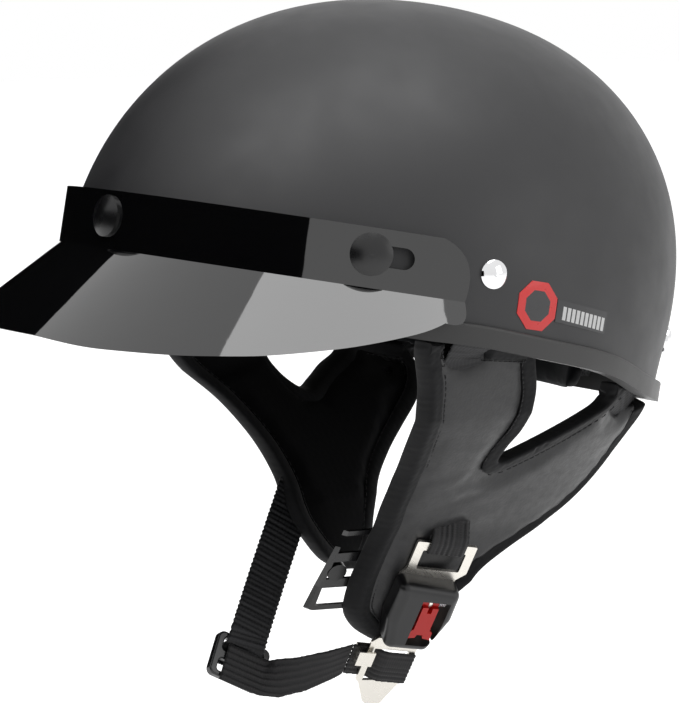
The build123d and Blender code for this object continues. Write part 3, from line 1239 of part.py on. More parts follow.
export_step(buckle_housing.part, "parts/buckle_housing.step")
buckle_rivets.part.label = "buckle_rivets"
export_step(buckle_rivets.part, "parts/buckle_rivets.step")
lever_pin.part.label = "lever_pin"
export_step(lever_pin.part, "parts/lever_pin.step")
release_lever.part.label = "release_lever"
export_step(release_lever.part, "parts/release_lever.step")
latch_pawl.part.label = "latch_pawl"
export_step(latch_pawl.part, "parts/latch_pawl.step")
lever_spring.part.label = "lever_spring"
export_step(lever_spring.part, "parts/lever_spring.step")
tongue_plate.part.label = "tongue_plate"
export_step(tongue_plate.part, "parts/tongue_plate.step")
tongue_keeper.part.label = "tongue_keeper"
export_step(tongue_keeper.part, "parts/tongue_keeper.step")
tongue_webbing.part.label = "tongue_webbing"
export_step(tongue_webbing.part, "parts/tongue_webbing.step")
chin_strap_run.part.label = "chin_strap_run"
export_step(chin_strap_run.part, "parts/chin_strap_run.step")
right_chin_strap.part.label = "right_chin_strap"
export_step(right_chin_strap.part, "parts/right_chin_strap.step")
strap_slide.part.label = "strap_slide"
export_step(strap_slide.part, "parts/strap_slide.step")
strap_divider.part.label = "strap_divider"
export_step(strap_divider.part, "parts/strap_divider.step")
divider_rivet.part.label = "divider_rivet"
export_step(divider_rivet.part, "parts/divider_rivet.step")
size_sticker.part.label = "size_sticker"
export_step(size_sticker.part, "parts/size_sticker.step")
material_label.part.label = "material_label"
export_step(material_label.part, "parts/material_label.step")
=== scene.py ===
# Half shell motorcycle helmet: materials, soft pieces, camera and studio round the CAD frame.
# Lengths are in metres. Side views, centre lines and the camera's aim are given in millimetres.
import math

import bpy
import bmesh
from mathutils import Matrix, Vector, noise
from mathutils.bvhtree import BVHTree


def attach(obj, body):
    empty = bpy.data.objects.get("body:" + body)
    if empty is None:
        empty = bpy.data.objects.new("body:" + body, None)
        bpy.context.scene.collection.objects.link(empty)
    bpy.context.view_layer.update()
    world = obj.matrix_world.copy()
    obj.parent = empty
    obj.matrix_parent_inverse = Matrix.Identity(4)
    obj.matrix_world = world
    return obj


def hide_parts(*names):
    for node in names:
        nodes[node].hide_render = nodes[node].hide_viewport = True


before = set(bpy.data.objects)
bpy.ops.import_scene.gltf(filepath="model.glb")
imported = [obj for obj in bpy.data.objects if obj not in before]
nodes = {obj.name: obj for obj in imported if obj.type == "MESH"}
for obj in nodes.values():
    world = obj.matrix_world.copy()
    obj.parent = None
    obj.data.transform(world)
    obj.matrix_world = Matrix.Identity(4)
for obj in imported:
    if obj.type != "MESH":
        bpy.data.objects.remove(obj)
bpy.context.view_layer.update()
MM = 0.001

# Camera at the photograph's viewing point
AIM = Vector((-5.36, -13.47, -28.57)) * MM
TO_CAMERA = Vector((0.7743, -0.6159, 0.1452))
CAMERA_DISTANCE = 1.25
LENS = 142.92
NEAREST, FARTHEST = 0.05, 20
camera_data = bpy.data.cameras.new("photo_camera")
camera_data.lens = LENS
camera_data.clip_start = NEAREST
camera_data.clip_end = FARTHEST
camera = bpy.data.objects.new("photo_camera", camera_data)
bpy.context.scene.collection.objects.link(camera)
camera.location = AIM + TO_CAMERA.normalized() * CAMERA_DISTANCE
camera.rotation_mode = "QUATERNION"
camera.rotation_quaternion = (-TO_CAMERA).to_track_quat("-Z", "Y")
bpy.context.scene.camera = camera
bpy.context.scene.view_settings.view_transform = "Standard"

# Materials
COAT_ROUGHNESS = 0.03
SHEEN_ROUGHNESS = 0.5
# A noise texture's values lie mostly between these two
FIELD_LOW, FIELD_HIGH = 0.3, 0.7


def finish_of(name, colour, rough, metal=0.0, coat=0.0, specular=0.5, sheen=0.0):
    """A material whose uniform numbers sit on the shader's own sockets."""
    made = bpy.data.materials.new(name)
    made.use_nodes = True
    shader = made.node_tree.nodes["Principled BSDF"]
    shader.inputs["Base Color"].default_value = (*colour, 1)
    shader.inputs["Roughness"].default_value = rough
    shader.inputs["Metallic"].default_value = metal
    shader.inputs["Coat Weight"].default_value = coat
    shader.inputs["Coat Roughness"].default_value = COAT_ROUGHNESS
    shader.inputs["Specular IOR Level"].default_value = specular
    shader.inputs["Sheen Weight"].default_value = sheen
    shader.inputs["Sheen Roughness"].default_value = SHEEN_ROUGHNESS
    return made, made.node_tree.nodes, made.node_tree.links, shader


def coordinates(tree, links, kind="Object", scale=(1, 1, 1)):
    """Object or UV coordinates, scaled."""
    source = tree.new("ShaderNodeTexCoord")
    mapping = tree.new("ShaderNodeMapping")
    mapping.inputs["Scale"].default_value = scale
    links.new(source.outputs[kind], mapping.inputs["Vector"])
    return mapping.outputs["Vector"]


def noise_field(tree, links, scale, detail=3.0, rough=0.5, stretch=(1, 1, 1)):
    """Noise over the object's own coordinates, stretched where a direction counts."""
    field = tree.new("ShaderNodeTexNoise")
    field.inputs["Scale"].default_value = scale
    field.inputs["Detail"].default_value = detail
    field.inputs["Roughness"].default_value = rough
    links.new(coordinates(tree, links, "Object", stretch), field.inputs["Vector"])
    return field.outputs["Fac"]


def cell_field(tree, links, scale, feature):
    """Distance from the middle of each cell of a Voronoi pattern."""
    cells = tree.new("ShaderNodeTexVoronoi")
    cells.feature = feature
    cells.inputs["Scale"].default_value = scale
    links.new(coordinates(tree, links), cells.inputs["Vector"])
    return cells.outputs["Distance"]


def wave_field(tree, links, direction, scale, distortion, kind="Object", detail=2):
    """Bands across one direction of the object or UV coordinates."""
    wave = tree.new("ShaderNodeTexWave")
    wave.bands_direction = direction
    wave.inputs["Scale"].default_value = scale
    wave.inputs["Distortion"].default_value = distortion
    wave.inputs["Detail"].default_value = detail
    links.new(coordinates(tree, links, kind), wave.inputs["Vector"])
    return wave.outputs["Fac"]


def maths(tree, links, kind, *values):
    """A maths node over sockets or numbers."""
    node = tree.new("ShaderNodeMath")
    node.operation = kind
    for i, value in enumerate(values):
        if isinstance(value, (int, float)):
            node.inputs[i].default_value = value
        else:
            links.new(value, node.inputs[i])
    return node.outputs[0]


def roughen(tree, links, shader, field, low, high):
    """Roughness that varies from low to high with a field."""
    scaled = tree.new("ShaderNodeMapRange")
    scaled.inputs["From Min"].default_value = FIELD_LOW
    scaled.inputs["From Max"].default_value = FIELD_HIGH
    scaled.inputs["To Min"].default_value = low
    scaled.inputs["To Max"].default_value = high
    links.new(field, scaled.inputs["Value"])
    links.new(scaled.outputs["Result"], shader.inputs["Roughness"])


def tint(tree, links, shader, field, first, second, low=FIELD_LOW, high=FIELD_HIGH):
    """Colour that varies from one shade to another with a field."""
    ramp = tree.new("ShaderNodeValToRGB")
    for stop, position, colour in zip(ramp.color_ramp.elements, (low, high), (first, second)):
        stop.position = position
        stop.color = (*colour, 1)
    links.new(field, ramp.inputs["Fac"])
    links.new(ramp.outputs["Color"], shader.inputs["Base Color"])


def raise_by(tree, links, shader, fields):
    """Bump from a list of (field, strength, distance), one on another."""
    last = None
    for field, strength, distance in fields:
        bump = tree.new("ShaderNodeBump")
        bump.inputs["Strength"].default_value = strength
        bump.inputs["Distance"].default_value = distance
        links.new(field, bump.inputs["Height"])
        if last:
            links.new(last, bump.inputs["Normal"])
        last = bump.outputs["Normal"]
    links.new(last, shader.inputs["Normal"])


def satin(name, dark, light, rough, grain, bump, **finish):
    """Smooth moulded or painted surface with fine grain and slight mottling."""
    made, tree, links, shader = finish_of(name, light, rough[0], **finish)
    tint(tree, links, shader, noise_field(tree, links, 14, 4), dark, light)
    roughen(tree, links, shader, noise_field(tree, links, 60, 5), *rough)
    raise_by(tree, links, shader, [(noise_field(tree, links, grain, 2), bump, 0.0001)])
    return made


def leather(name, dark, light, rough, cell=900):
    """Grained leather: small cells over softer creases."""
    made, tree, links, shader = finish_of(name, light, rough[0], sheen=0.08, specular=0.45)
    grain = cell_field(tree, links, cell, "SMOOTH_F1")
    creases = noise_field(tree, links, 260, 6, 0.6)
    tint(tree, links, shader, noise_field(tree, links, 22, 5), dark, light)
    roughen(tree, links, shader, creases, *rough)
    raise_by(tree, links, shader, [(grain, 0.25, 0.0002), (creases, 0.2, 0.0003)])
    return made


def cloth(name, dark, light, rough, thread, sheen, bump):
    """Knitted or brushed fabric from crossed waves."""
    made, tree, links, shader = finish_of(name, light, rough, sheen=sheen, specular=0.2)
    waves = [wave_field(tree, links, direction, thread / 20, 1.5) for direction in ("Y", "Z")]
    weave = maths(tree, links, "MULTIPLY", *waves)
    fluff = noise_field(tree, links, 700, 4)
    tint(tree, links, shader, noise_field(tree, links, 90, 5), dark, light)
    raise_by(tree, links, shader, [(weave, bump, 0.0002), (fluff, 0.3, 0.0002)])
    return made


def ribbed(name, dark, light, along, pitch):
    """Woven webbing: ribs over the UV direction, fine cross threads under them. Painted shade:
    the colour is darker in the grooves between ribs and lighter on their crests.
    """
    made, tree, links, shader = finish_of(name, light, 0.62, sheen=0.1, specular=0.35)
    rib_way, cross_way = ("Y", "X") if along else ("X", "Y")
    per_metre = 1 / pitch / 3.1416
    rib = wave_field(tree, links, rib_way, per_metre * 0.5, 0.2, "UV")
    cross = wave_field(tree, links, cross_way, per_metre * 1.3, 1.0, "UV")
    # Painted shade and highlight: the rib field darkens the grooves and lightens the crests
    tint(tree, links, shader, rib, dark, light, 0.1, 0.9)
    raise_by(tree, links, shader, [(rib, 0.6, 0.0004), (cross, 0.35, 0.0002)])
    return made


def metal(name, colour, rough, streak=(40, 900, 40), bump=0.05):
    """Bright metal with drawn streaks that vary its roughness."""
    made, tree, links, shader = finish_of(name, colour, rough[0], metal=1.0)
    drawn = noise_field(tree, links, 1, 4, stretch=streak)
    darker = tuple(value * 0.86 for value in colour)
    tint(tree, links, shader, noise_field(tree, links, 30, 4), darker, colour)
    roughen(tree, links, shader, drawn, *rough)
    raise_by(tree, links, shader, [(drawn, bump, 0.0001)])
    return made


def beads(name, colour, size):
    """Expanded foam: packed beads with dark seams."""
    made, tree, links, shader = finish_of(name, colour, 0.85, specular=0.2)
    packed = cell_field(tree, links, 1 / size, "F1")
    darker = tuple(value * 0.55 for value in colour)
    tint(tree, links, shader, packed, colour, darker, 0.2, 0.75)
    raise_by(tree, links, shader, [(packed, 0.5, 0.0006)])
    return made


# The stickers' directions on the left wall, which follow the helmet's own tilt
HELMET_TILT = math.radians(10.9)
SIDE_ALONG = Vector((0, math.cos(HELMET_TILT), -math.sin(HELMET_TILT)))
SIDE_UP = Vector((0, math.sin(HELMET_TILT), math.cos(HELMET_TILT)))
PRINT_BLACK = (0.01, 0.01, 0.012)


def distance_along(tree, links, direction, shift):
    """Object position along a direction, less a shift."""
    source = tree.new("ShaderNodeTexCoord")
    product = tree.new("ShaderNodeVectorMath")
    product.operation = "DOT_PRODUCT"
    product.inputs[1].default_value = direction
    links.new(source.outputs["Object"], product.inputs[0])
    return maths(tree, links, "SUBTRACT", product.outputs["Value"], shift)


def printed(tree, links, shader, rough_high):
    """The slight grain of a printed film."""
    roughen(tree, links, shader, noise_field(tree, links, 300, 3), 0.25, rough_high)
    raise_by(tree, links, shader, [(noise_field(tree, links, 900, 2), 0.1, 0.0001)])


def octagon_sticker(name, centre, inner):
    """Red ring round a bare black octagon, whose flats lie at the inner distance."""
    made, tree, links, shader = finish_of(name, (0.5, 0.01, 0.01), 0.3, coat=0.3)
    along = maths(tree, links, "ABSOLUTE", distance_along(tree, links, SIDE_ALONG, centre[0]))
    up = maths(tree, links, "ABSOLUTE", distance_along(tree, links, SIDE_UP, centre[1]))
    both = maths(tree, links, "ADD", along, up)
    slant = maths(tree, links, "MULTIPLY", both, math.sqrt(0.5))
    reach = maths(tree, links, "MAXIMUM", maths(tree, links, "MAXIMUM", along, up), slant)
    share = maths(tree, links, "DIVIDE", reach, inner * 2)
    tint(tree, links, shader, share, (0.012, 0.012, 0.014), (0.78, 0.02, 0.02), 0.495, 0.505)
    printed(tree, links, shader, 0.4)
    return made


def between(tree, links, value, low, high):
    """One where a value lies between two numbers, nothing elsewhere."""
    over = maths(tree, links, "GREATER_THAN", value, low)
    under = maths(tree, links, "LESS_THAN", value, high)
    return maths(tree, links, "MULTIPLY", over, under)


def barred_label(name, start, slope, pitch, share, low, high, bars=9.99):
    """Black label with a row of plain pale bars in place of words."""
    made, tree, links, shader = finish_of(name, PRINT_BLACK, 0.35, coat=0.2)
    along = distance_along(tree, links, SIDE_ALONG, start[0])
    climb = maths(tree, links, "MULTIPLY", along, slope)
    up = maths(tree, links, "SUBTRACT", distance_along(tree, links, SIDE_UP, start[1]), climb)
    step = maths(tree, links, "FRACT", maths(tree, links, "DIVIDE", along, pitch))
    bar = maths(tree, links, "LESS_THAN", step, share)
    tall = between(tree, links, up, low, high)
    row = between(tree, links, along, 0, pitch * bars)
    lit = maths(tree, links, "MULTIPLY", maths(tree, links, "MULTIPLY", bar, tall), row)
    tint(tree, links, shader, lit, PRINT_BLACK, (0.75, 0.75, 0.75), 0.45, 0.55)
    printed(tree, links, shader, 0.45)
    return made


# Each takes a darker and a lighter shade, a range of roughness, a grain scale and a bump strength
shell_paint = satin(
    "shell_paint", (0.017, 0.017, 0.0185), (0.020, 0.020, 0.0215), (0.46, 0.54), 3500, 0.12)
trim_rubber = satin(
    "trim_rubber", (0.018, 0.018, 0.018), (0.025, 0.024, 0.024), (0.40, 0.48), 1800, 0.2)
visor_gloss = satin(
    "visor_gloss", (0.0025, 0.0025, 0.003), (0.0032, 0.0032, 0.0036), (0.02, 0.04), 900, 0.01,
    coat=1.0)
cap_black = satin(
    "cap_black", (0.004, 0.004, 0.0045), (0.006, 0.006, 0.0065), (0.26, 0.34), 2500, 0.1)
frame_plastic = satin(
    "frame_plastic", (0.008, 0.008, 0.009), (0.012, 0.012, 0.013), (0.16, 0.28), 1200, 0.12)
housing_plastic = satin(
    "housing_plastic", (0.004, 0.004, 0.005), (0.006, 0.006, 0.007), (0.30, 0.40), 2500, 0.2)
lever_red = satin("lever_red", (0.62, 0.010, 0.006), (0.72, 0.014, 0.008), (0.3, 0.4), 2000, 0.1)
thread_black = satin(
    "thread_black", (0.004, 0.004, 0.005), (0.008, 0.008, 0.009), (0.6, 0.8), 3000, 0.5)

# One shade and a range of roughness, then the streaks' scale where they don't run the usual way
chrome = metal("chrome", (0.86, 0.86, 0.87), (0.04, 0.09))
steel = metal("steel", (0.80, 0.77, 0.71), (0.22, 0.34), (900, 40, 40))
spring_steel = metal("spring_steel", (0.6, 0.6, 0.62), (0.2, 0.3))
washer_black = metal("washer_black", (0.12, 0.12, 0.13), (0.35, 0.5))

# Fabrics: two shades, then roughness, thread scale, sheen and bump, or the ribs' way and pitch
pad_leather = leather("pad_leather", (0.005, 0.005, 0.006), (0.009, 0.009, 0.010), (0.36, 0.52))
pad_suede = cloth(
    "pad_suede", (0.0022, 0.0022, 0.0028), (0.0034, 0.0034, 0.004), 0.95, 1600, 0.03, 0.3)
pad_binding = cloth(
    "pad_binding", (0.008, 0.008, 0.009), (0.014, 0.014, 0.015), 0.75, 1900, 0.1, 0.5)
liner_cloth = cloth(
    "liner_cloth", (0.010, 0.011, 0.013), (0.018, 0.019, 0.022), 0.92, 1200, 0.15, 0.6)
webbing_cross = ribbed(
    "webbing_cross", (0.004, 0.004, 0.005), (0.012, 0.012, 0.014), True, 0.0022)
webbing_long = ribbed(
    "webbing_long", (0.005, 0.005, 0.006), (0.020, 0.019, 0.020), False, 0.0014)
foam_beads = beads("foam_beads", (0.045, 0.045, 0.047), 0.004)
sticker_print = octagon_sticker("sticker_print", (-12.6 * MM, 2.6 * MM), 6.3 * MM)
label_print = barred_label(
    "label_print", (1.5 * MM, 4.4 * MM), -0.085, 2.75 * MM, 0.72, -6.0 * MM, -0.4 * MM)

# CAD nodes that keep their shape and take a material
for name, made in (
    ("outer_shell", shell_paint), ("edge_trim", trim_rubber), ("eps_liner", foam_beads),
    ("visor", visor_gloss), ("visor_snap_caps", cap_black), ("visor_snap_sockets", washer_black),
    ("shell_snap_studs", washer_black), ("snap_stud_washers", washer_black),
    ("front_strap_rivets", chrome), ("rear_strap_rivets", chrome),
    ("strap_rivet_washers", washer_black), ("buckle_frame", steel),
    ("buckle_back", housing_plastic), ("buckle_housing", housing_plastic),
    ("buckle_rivets", steel), ("lever_pin", steel), ("release_lever", lever_red),
    ("latch_pawl", steel), ("lever_spring", spring_steel), ("tongue_plate", steel),
    ("tongue_keeper", steel), ("strap_slide", frame_plastic), ("strap_divider", frame_plastic),
    ("divider_rivet", cap_black), ("size_sticker", sticker_print),
    ("material_label", label_print),
):
    nodes[name].data.materials.clear()
    nodes[name].data.materials.append(made)


# Shapes
def link(name, mesh):
    """A new object in the scene for a mesh."""
    made = bpy.data.objects.new(name, mesh)
    bpy.context.scene.collection.objects.link(made)
    return made


def joined_nodes(*names):
    """One bmesh joined from CAD nodes, without their materials."""
    joined = bmesh.new()
    for name in names:
        joined.from_mesh(nodes[name].data)
    return joined


def settle(name, built):
    """A new object from a bmesh, which is freed."""
    mesh = bpy.data.meshes.new(name)
    built.to_mesh(mesh)
    built.free()
    return link(name, mesh)


def copy_of(name, *sources):
    """A new object joined from CAD nodes."""
    return settle(name, joined_nodes(*sources))


def normals_of(piece):
    """Copies of a piece's vertex normals, which Blender works out again once a vertex moves."""
    return [vertex.normal.copy() for vertex in piece.data.vertices]


def apply_modifiers(piece):
    """Bakes a piece's modifiers into its mesh."""
    evaluated = piece.evaluated_get(bpy.context.evaluated_depsgraph_get())
    baked = bpy.data.meshes.new_from_object(evaluated)
    old = piece.data
    piece.modifiers.clear()
    piece.data = baked
    bpy.data.meshes.remove(old)


def remesh(piece, voxel, relax):
    """Even quads at a voxel size, relaxed a number of times."""
    step = piece.modifiers.new("remesh", "REMESH")
    step.mode = "VOXEL"
    step.voxel_size = voxel
    step.use_smooth_shade = True
    ease = piece.modifiers.new("ease", "SMOOTH")
    ease.factor = 0.5
    ease.iterations = relax
    apply_modifiers(piece)


def smooth_faces(piece):
    """Smooth shading on every face."""
    piece.data.polygons.foreach_set("use_smooth", [True] * len(piece.data.polygons))


def subdivide(piece):
    """One level of smooth subdivision."""
    step = piece.modifiers.new("smooth", "SUBSURF")
    step.levels = 1
    step.render_levels = 1
    apply_modifiers(piece)
    smooth_faces(piece)


PRESSURE = 4.0
CLOTH_FRAMES = 20


def inflate(piece, cap, shrink):
    """Cloth shrunk, then blown up from inside, each point held within cap of where it began."""
    mesh = piece.data
    start = [vertex.co.copy() for vertex in mesh.vertices]
    for vertex, normal in zip(mesh.vertices, normals_of(piece)):
        vertex.co -= normal * shrink
    sim = piece.modifiers.new("cloth", "CLOTH")
    sim.settings.quality = 5
    sim.settings.mass = 0.3
    sim.settings.use_pressure = True
    sim.settings.uniform_pressure_force = PRESSURE
    sim.settings.effector_weights.gravity = 0
    sim.settings.tension_stiffness = 15
    sim.settings.bending_stiffness = 2
    sim.collision_settings.use_collision = False
    sim.point_cache.frame_start = 1
    sim.point_cache.frame_end = CLOTH_FRAMES
    for step in range(1, CLOTH_FRAMES + 1):
        bpy.context.scene.frame_set(step)
    evaluated = piece.evaluated_get(bpy.context.evaluated_depsgraph_get())
    moved = [vertex.co.copy() for vertex in evaluated.data.vertices]
    piece.modifiers.clear()
    bpy.context.scene.frame_set(1)
    for vertex, here, there in zip(mesh.vertices, start, moved):
        shift = there - here
        if shift.length > cap:
            shift *= cap / shift.length
        vertex.co = here + shift
    mesh.update()


def soft_from(name, sources, made, voxel, relax, cap, shrink):
    """A padded piece grown from its CAD solids."""
    piece = copy_of(name, *sources)
    remesh(piece, voxel, relax)
    inflate(piece, cap, shrink)
    subdivide(piece)
    piece.data.materials.append(made)
    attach(piece, "helmet")
    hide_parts(*sources)
    return piece


def smooth_run(points, count):
    """Points along a Catmull-Rom curve through a run of points, count to each span."""
    full = [2 * points[0] - points[1]] + points + [2 * points[-1] - points[-2]]
    out = []
    for i in range(1, len(full) - 2):
        p0, p1, p2, p3 = full[i - 1:i + 3]
        for k in range(count):
            t = k / count
            a = 2 * p1
            b = (p2 - p0) * t
            c = (2 * p0 - 5 * p1 + 4 * p2 - p3) * t * t
            d = (3 * p1 - p0 - 3 * p2 + p3) * t * t * t
            out.append((a + b + c + d) * 0.5)
    out.append(points[-1])
    return out


# Ear pad outlines from the side, as (y, z) in millimetres: front edge, rear edge, window edge
LEFT_OUTLINE = (
    [(-55, -8), (-54, -14), (-47, -30), (-43, -44), (-38, -59), (-33, -74), (-30, -90),
     (-27.4, -102), (-27.2, -116), (-27, -130), (-24.6, -143), (-17.7, -152), (-9, -158)],
    [(-9, -158), (-2, -157.5), (8, -149), (18.4, -136), (27, -126), (41, -117), (61, -106.5),
     (76, -94.5), (86, -80), (90, -66), (91.5, -55), (87, -43)],
    [(58, -37), (57, -46), (51, -50.5), (38, -57), (20.5, -65), (9, -69), (8, -62), (10, -54),
     (9.4, -44), (7.5, -33), (2, -20), (1.5, -14.5)],
)
RIGHT_OUTLINE = (
    [(-55, -8), (-53.5, -18), (-50, -30), (-43, -42), (-27, -59), (-17.5, -77), (-14.5, -92),
     (-16.5, -104), (-14.5, -114), (-6.6, -127), (3, -134), (14, -136.5)],
    [(14, -136.5), (22, -134), (28.5, -126), (33, -114), (41, -101), (54, -89), (68, -78),
     (83, -66), (90, -54), (87, -43)],
    [(58, -37), (54, -44), (43, -49), (33, -54.5), (24, -58), (15, -52), (9.5, -42), (6, -32),
     (2, -20), (1.5, -14.5)],
)
CURVE_POINTS = 10


def closed_outline(runs, step):
    """Evenly spaced points round a pad, with the inward direction at each."""
    loop = []
    for run in runs:
        loop += smooth_run([Vector(point) for point in run], CURVE_POINTS)
    length = [0]
    ring = loop + [loop[0]]
    for a, b in zip(ring, ring[1:]):
        length.append(length[-1] + (b - a).length)
    count = int(length[-1] / step)
    points = []
    at = 0
    for k in range(count):
        want = length[-1] * k / count
        while length[at + 1] < want:
            at += 1
        share = (want - length[at]) / max(length[at + 1] - length[at], 1e-9)
        points.append(ring[at].lerp(ring[at + 1], share))
    inward = []
    for k in range(count):
        turn = points[(k + 2) % count] - points[k - 2]
        inward.append(Vector((-turn.y, turn.x)).normalized())
    return points, inward


# Where the rays start in x: well outside the pad, and past the middle on the far side
OUTSIDE, MIDDLE = 0.3, 0.05


class PadForm:
    """Ray casts onto one ear pad's CAD solids, side +1 for left and -1 for right."""

    def __init__(self, side, *names):
        joined = joined_nodes(*names)
        bmesh.ops.triangulate(joined, faces=joined.faces[:])
        self.tree = BVHTree.FromBMesh(joined)
        joined.free()
        self.side = side

    def hit(self, start_x, way, y, z):
        """First point met from a start x, or None."""
        return self.tree.ray_cast(Vector((start_x, y, z)), Vector((way, 0, 0)))[0]

    def faces(self, y, z):
        """Outer and inner x at a point of the side view, or None."""
        outer = self.hit(self.side * OUTSIDE, -self.side, y, z)
        inner = self.hit(-self.side * MIDDLE, self.side, y, z)
        if outer is None or inner is None:
            return None
        return outer.x, inner.x


def skin(built, rings, closed):
    """Quads between neighbouring rings of vertices, each ring closed or open."""
    for a, b in zip(rings, rings[1:]):
        for i in range(len(a) if closed else len(a) - 1):
            k = (i + 1) % len(a)
            built.faces.new((a[i], a[k], b[k], b[i]))


# Share of the tape's width in from the pad's edge, and share of its rise over the pad there
TAPE_PROFILE = ((1.06, -0.9), (1.0, -0.2), (0.85, 0.55), (0.6, 0.75), (0.35, 0.6), (0.12, 0.1))
TAPE_STEP = 1.2
# Places round the rolled edge from the outer face to the inner one, and how far it bulges
EDGE_TURNS = (0.2, 0.4, 0.6, 0.8)
EDGE_SWELL = 0.9


def bound_edge(name, side, form, runs, width, rise, node):
    """Folded binding tape round a pad, a rolled edge between two flat margins, in millimetres."""
    built = bmesh.new()
    rings = []
    for point, inside in zip(*closed_outline(runs, TAPE_STEP)):
        row = []
        faces = None
        for share, lift in TAPE_PROFILE:
            flat = (point + inside * width * share) * MM
            faces = form.faces(flat.x, flat.y) or faces
            row.append((faces, flat, side * lift * rise * MM))
        if faces is None:
            continue
        row = [(known or faces, flat, lift) for known, flat, lift in row]
        ring = [Vector((known[0] + lift, flat.x, flat.y)) for known, flat, lift in row]
        (outer_x, inner_x), edge, lift = row[-1]
        away = (edge - row[-2][1]).normalized()
        for turn in EDGE_TURNS:
            x = outer_x + (inner_x - outer_x) * turn
            swell = math.sin(turn * math.pi) * EDGE_SWELL * MM
            ring.append(Vector((x, edge.x + away.x * swell, edge.y + away.y * swell)))
        ring += [Vector((known[1] - lift, flat.x, flat.y)) for known, flat, lift in reversed(row)]
        rings.append([built.verts.new(place) for place in ring])
    skin(built, rings + rings[:1], False)
    bmesh.ops.recalc_face_normals(built, faces=built.faces[:])
    piece = settle(name, built)
    subdivide(piece)
    piece.data.materials.append(pad_binding)
    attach(piece, "helmet")
    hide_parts(node)


# Places along a thread, as shares of its length, and corners round it
STITCH_SHARES = (-0.5, -0.3, 0, 0.3, 0.5)
THREAD_ANGLES = [corner * math.pi / 3 for corner in range(6)]


def stitch_rings(form, face, out, point, inside, inset, length, thick):
    """Circles along one thread, sunk at its ends, or fewer where it leaves the pad."""
    along = Vector((-inside.y, inside.x))
    across = Vector((0, inside.x, inside.y)) * thick * 0.5 * MM
    lift = Vector((out, 0, 0)) * thick * 0.5 * MM
    rings = []
    for share in STITCH_SHARES:
        flat = (point + inside * inset + along * length * share) * MM
        faces = form.faces(flat.x, flat.y)
        if faces is None:
            break
        rise = (1 - abs(share) * 2) * thick * 0.7 - thick * 0.15
        centre = Vector((faces[face] + out * rise * MM, flat.x, flat.y))
        rings.append([centre + across * math.cos(a) + lift * math.sin(a) for a in THREAD_ANGLES])
    return rings


def stitches(name, side, form, runs, inset, pitch, length, thick):
    """Rows of short threads along a pad's edge on both faces, in millimetres."""
    built = bmesh.new()
    for point, inside in zip(*closed_outline(runs, pitch)):
        for face, out in ((0, side), (1, -side)):
            circles = stitch_rings(form, face, out, point, inside, inset, length, thick)
            if len(circles) < len(STITCH_SHARES):
                continue
            rings = [[built.verts.new(place) for place in circle] for circle in circles]
            skin(built, rings, True)
            built.faces.new(rings[0])
            built.faces.new(list(reversed(rings[-1])))
    bmesh.ops.recalc_face_normals(built, faces=built.faces[:])
    piece = settle(name, built)
    smooth_faces(piece)
    piece.data.materials.append(thread_black)
    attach(piece, "helmet")


# How far a normal points sideways on an outer face, at least, and on an inner one, at most
OUTWARD, INWARD = 0.3, -0.15
# In widths of the fold
FOLD_REACH = 3


def fold(piece, side, start, end, width, height):
    """Crease on a pad's outer face between two (y, z) points, raised or sunk, in millimetres."""
    a, b = Vector(start) * MM, Vector(end) * MM
    run = b - a
    facing = [vertex.normal.x * side for vertex in piece.data.vertices]
    for vertex, out in zip(piece.data.vertices, facing):
        if out < OUTWARD:
            continue
        flat = Vector((vertex.co.y, vertex.co.z))
        share = max(0, min(1, (flat - a).dot(run) / run.length_squared))
        near = (flat - a - run * share).length / (width * MM)
        if near < FOLD_REACH:
            fade = math.exp(-near * near) * math.sin(math.pi * (0.1 + 0.8 * share))
            vertex.co.x += side * height * MM * fade


def two_faced(piece, side, inner_made):
    """Inner faces of a pad take the second material."""
    piece.data.materials.append(inner_made)
    for face in piece.data.polygons:
        face.material_index = 1 if face.normal.x * side < INWARD else 0


# Creases on the left pad: start, end, width, height
LEFT_FOLDS = (
    ((-16, -78), (14, -72), 3.0, 0.9), ((-14, -90), (12, -84), 2.5, -0.7),
    ((-8, -96), (22, -98), 3.5, 0.8), ((10, -76), (34, -92), 4.0, -0.6),
    ((-20, -60), (0, -64), 4.0, 0.5),
)
for word, side, runs, folds in (
    ("left", 1, LEFT_OUTLINE, LEFT_FOLDS),
    ("right", -1, RIGHT_OUTLINE, ()),
):
    cover, foam, binding = (f"{word}_pad_{part}" for part in ("cover", "foam", "binding"))
    form = PadForm(side, cover, foam, binding)
    pad = soft_from(
        f"{word}_ear_cushion", (cover, foam), pad_leather,
        voxel=0.003, relax=4, cap=0.002, shrink=0.0006)
    for start, end, width, height in folds:
        fold(pad, side, start, end, width, height)
    two_faced(pad, side, pad_suede)
    bound_edge(f"{word}_edge_binding", side, form, runs, 6.4, 1.0, binding)
    stitches(
        f"{word}_edge_stitches", side, form, runs, inset=7.1, pitch=2.6, length=1.9, thick=0.5)

# Linings and inner pads
LINING_RIPPLE, RIPPLE_HEIGHT = 38, 0.0007
lining = copy_of("shell_lining", "comfort_liner")
remesh(lining, 0.002, 4)
for vertex, normal in zip(lining.data.vertices, normals_of(lining)):
    vertex.co += normal * noise.noise(vertex.co * LINING_RIPPLE) * RIPPLE_HEIGHT
smooth_faces(lining)
lining.data.materials.append(liner_cloth)
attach(lining, "helmet")
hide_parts("comfort_liner")
for name in ("crown_pad", "brow_pad", "nape_pad", "left_side_pad", "right_side_pad"):
    soft_from(
        f"{name}_cushion", (name,), liner_cloth,
        voxel=0.004, relax=3, cap=0.0025, shrink=0.001)


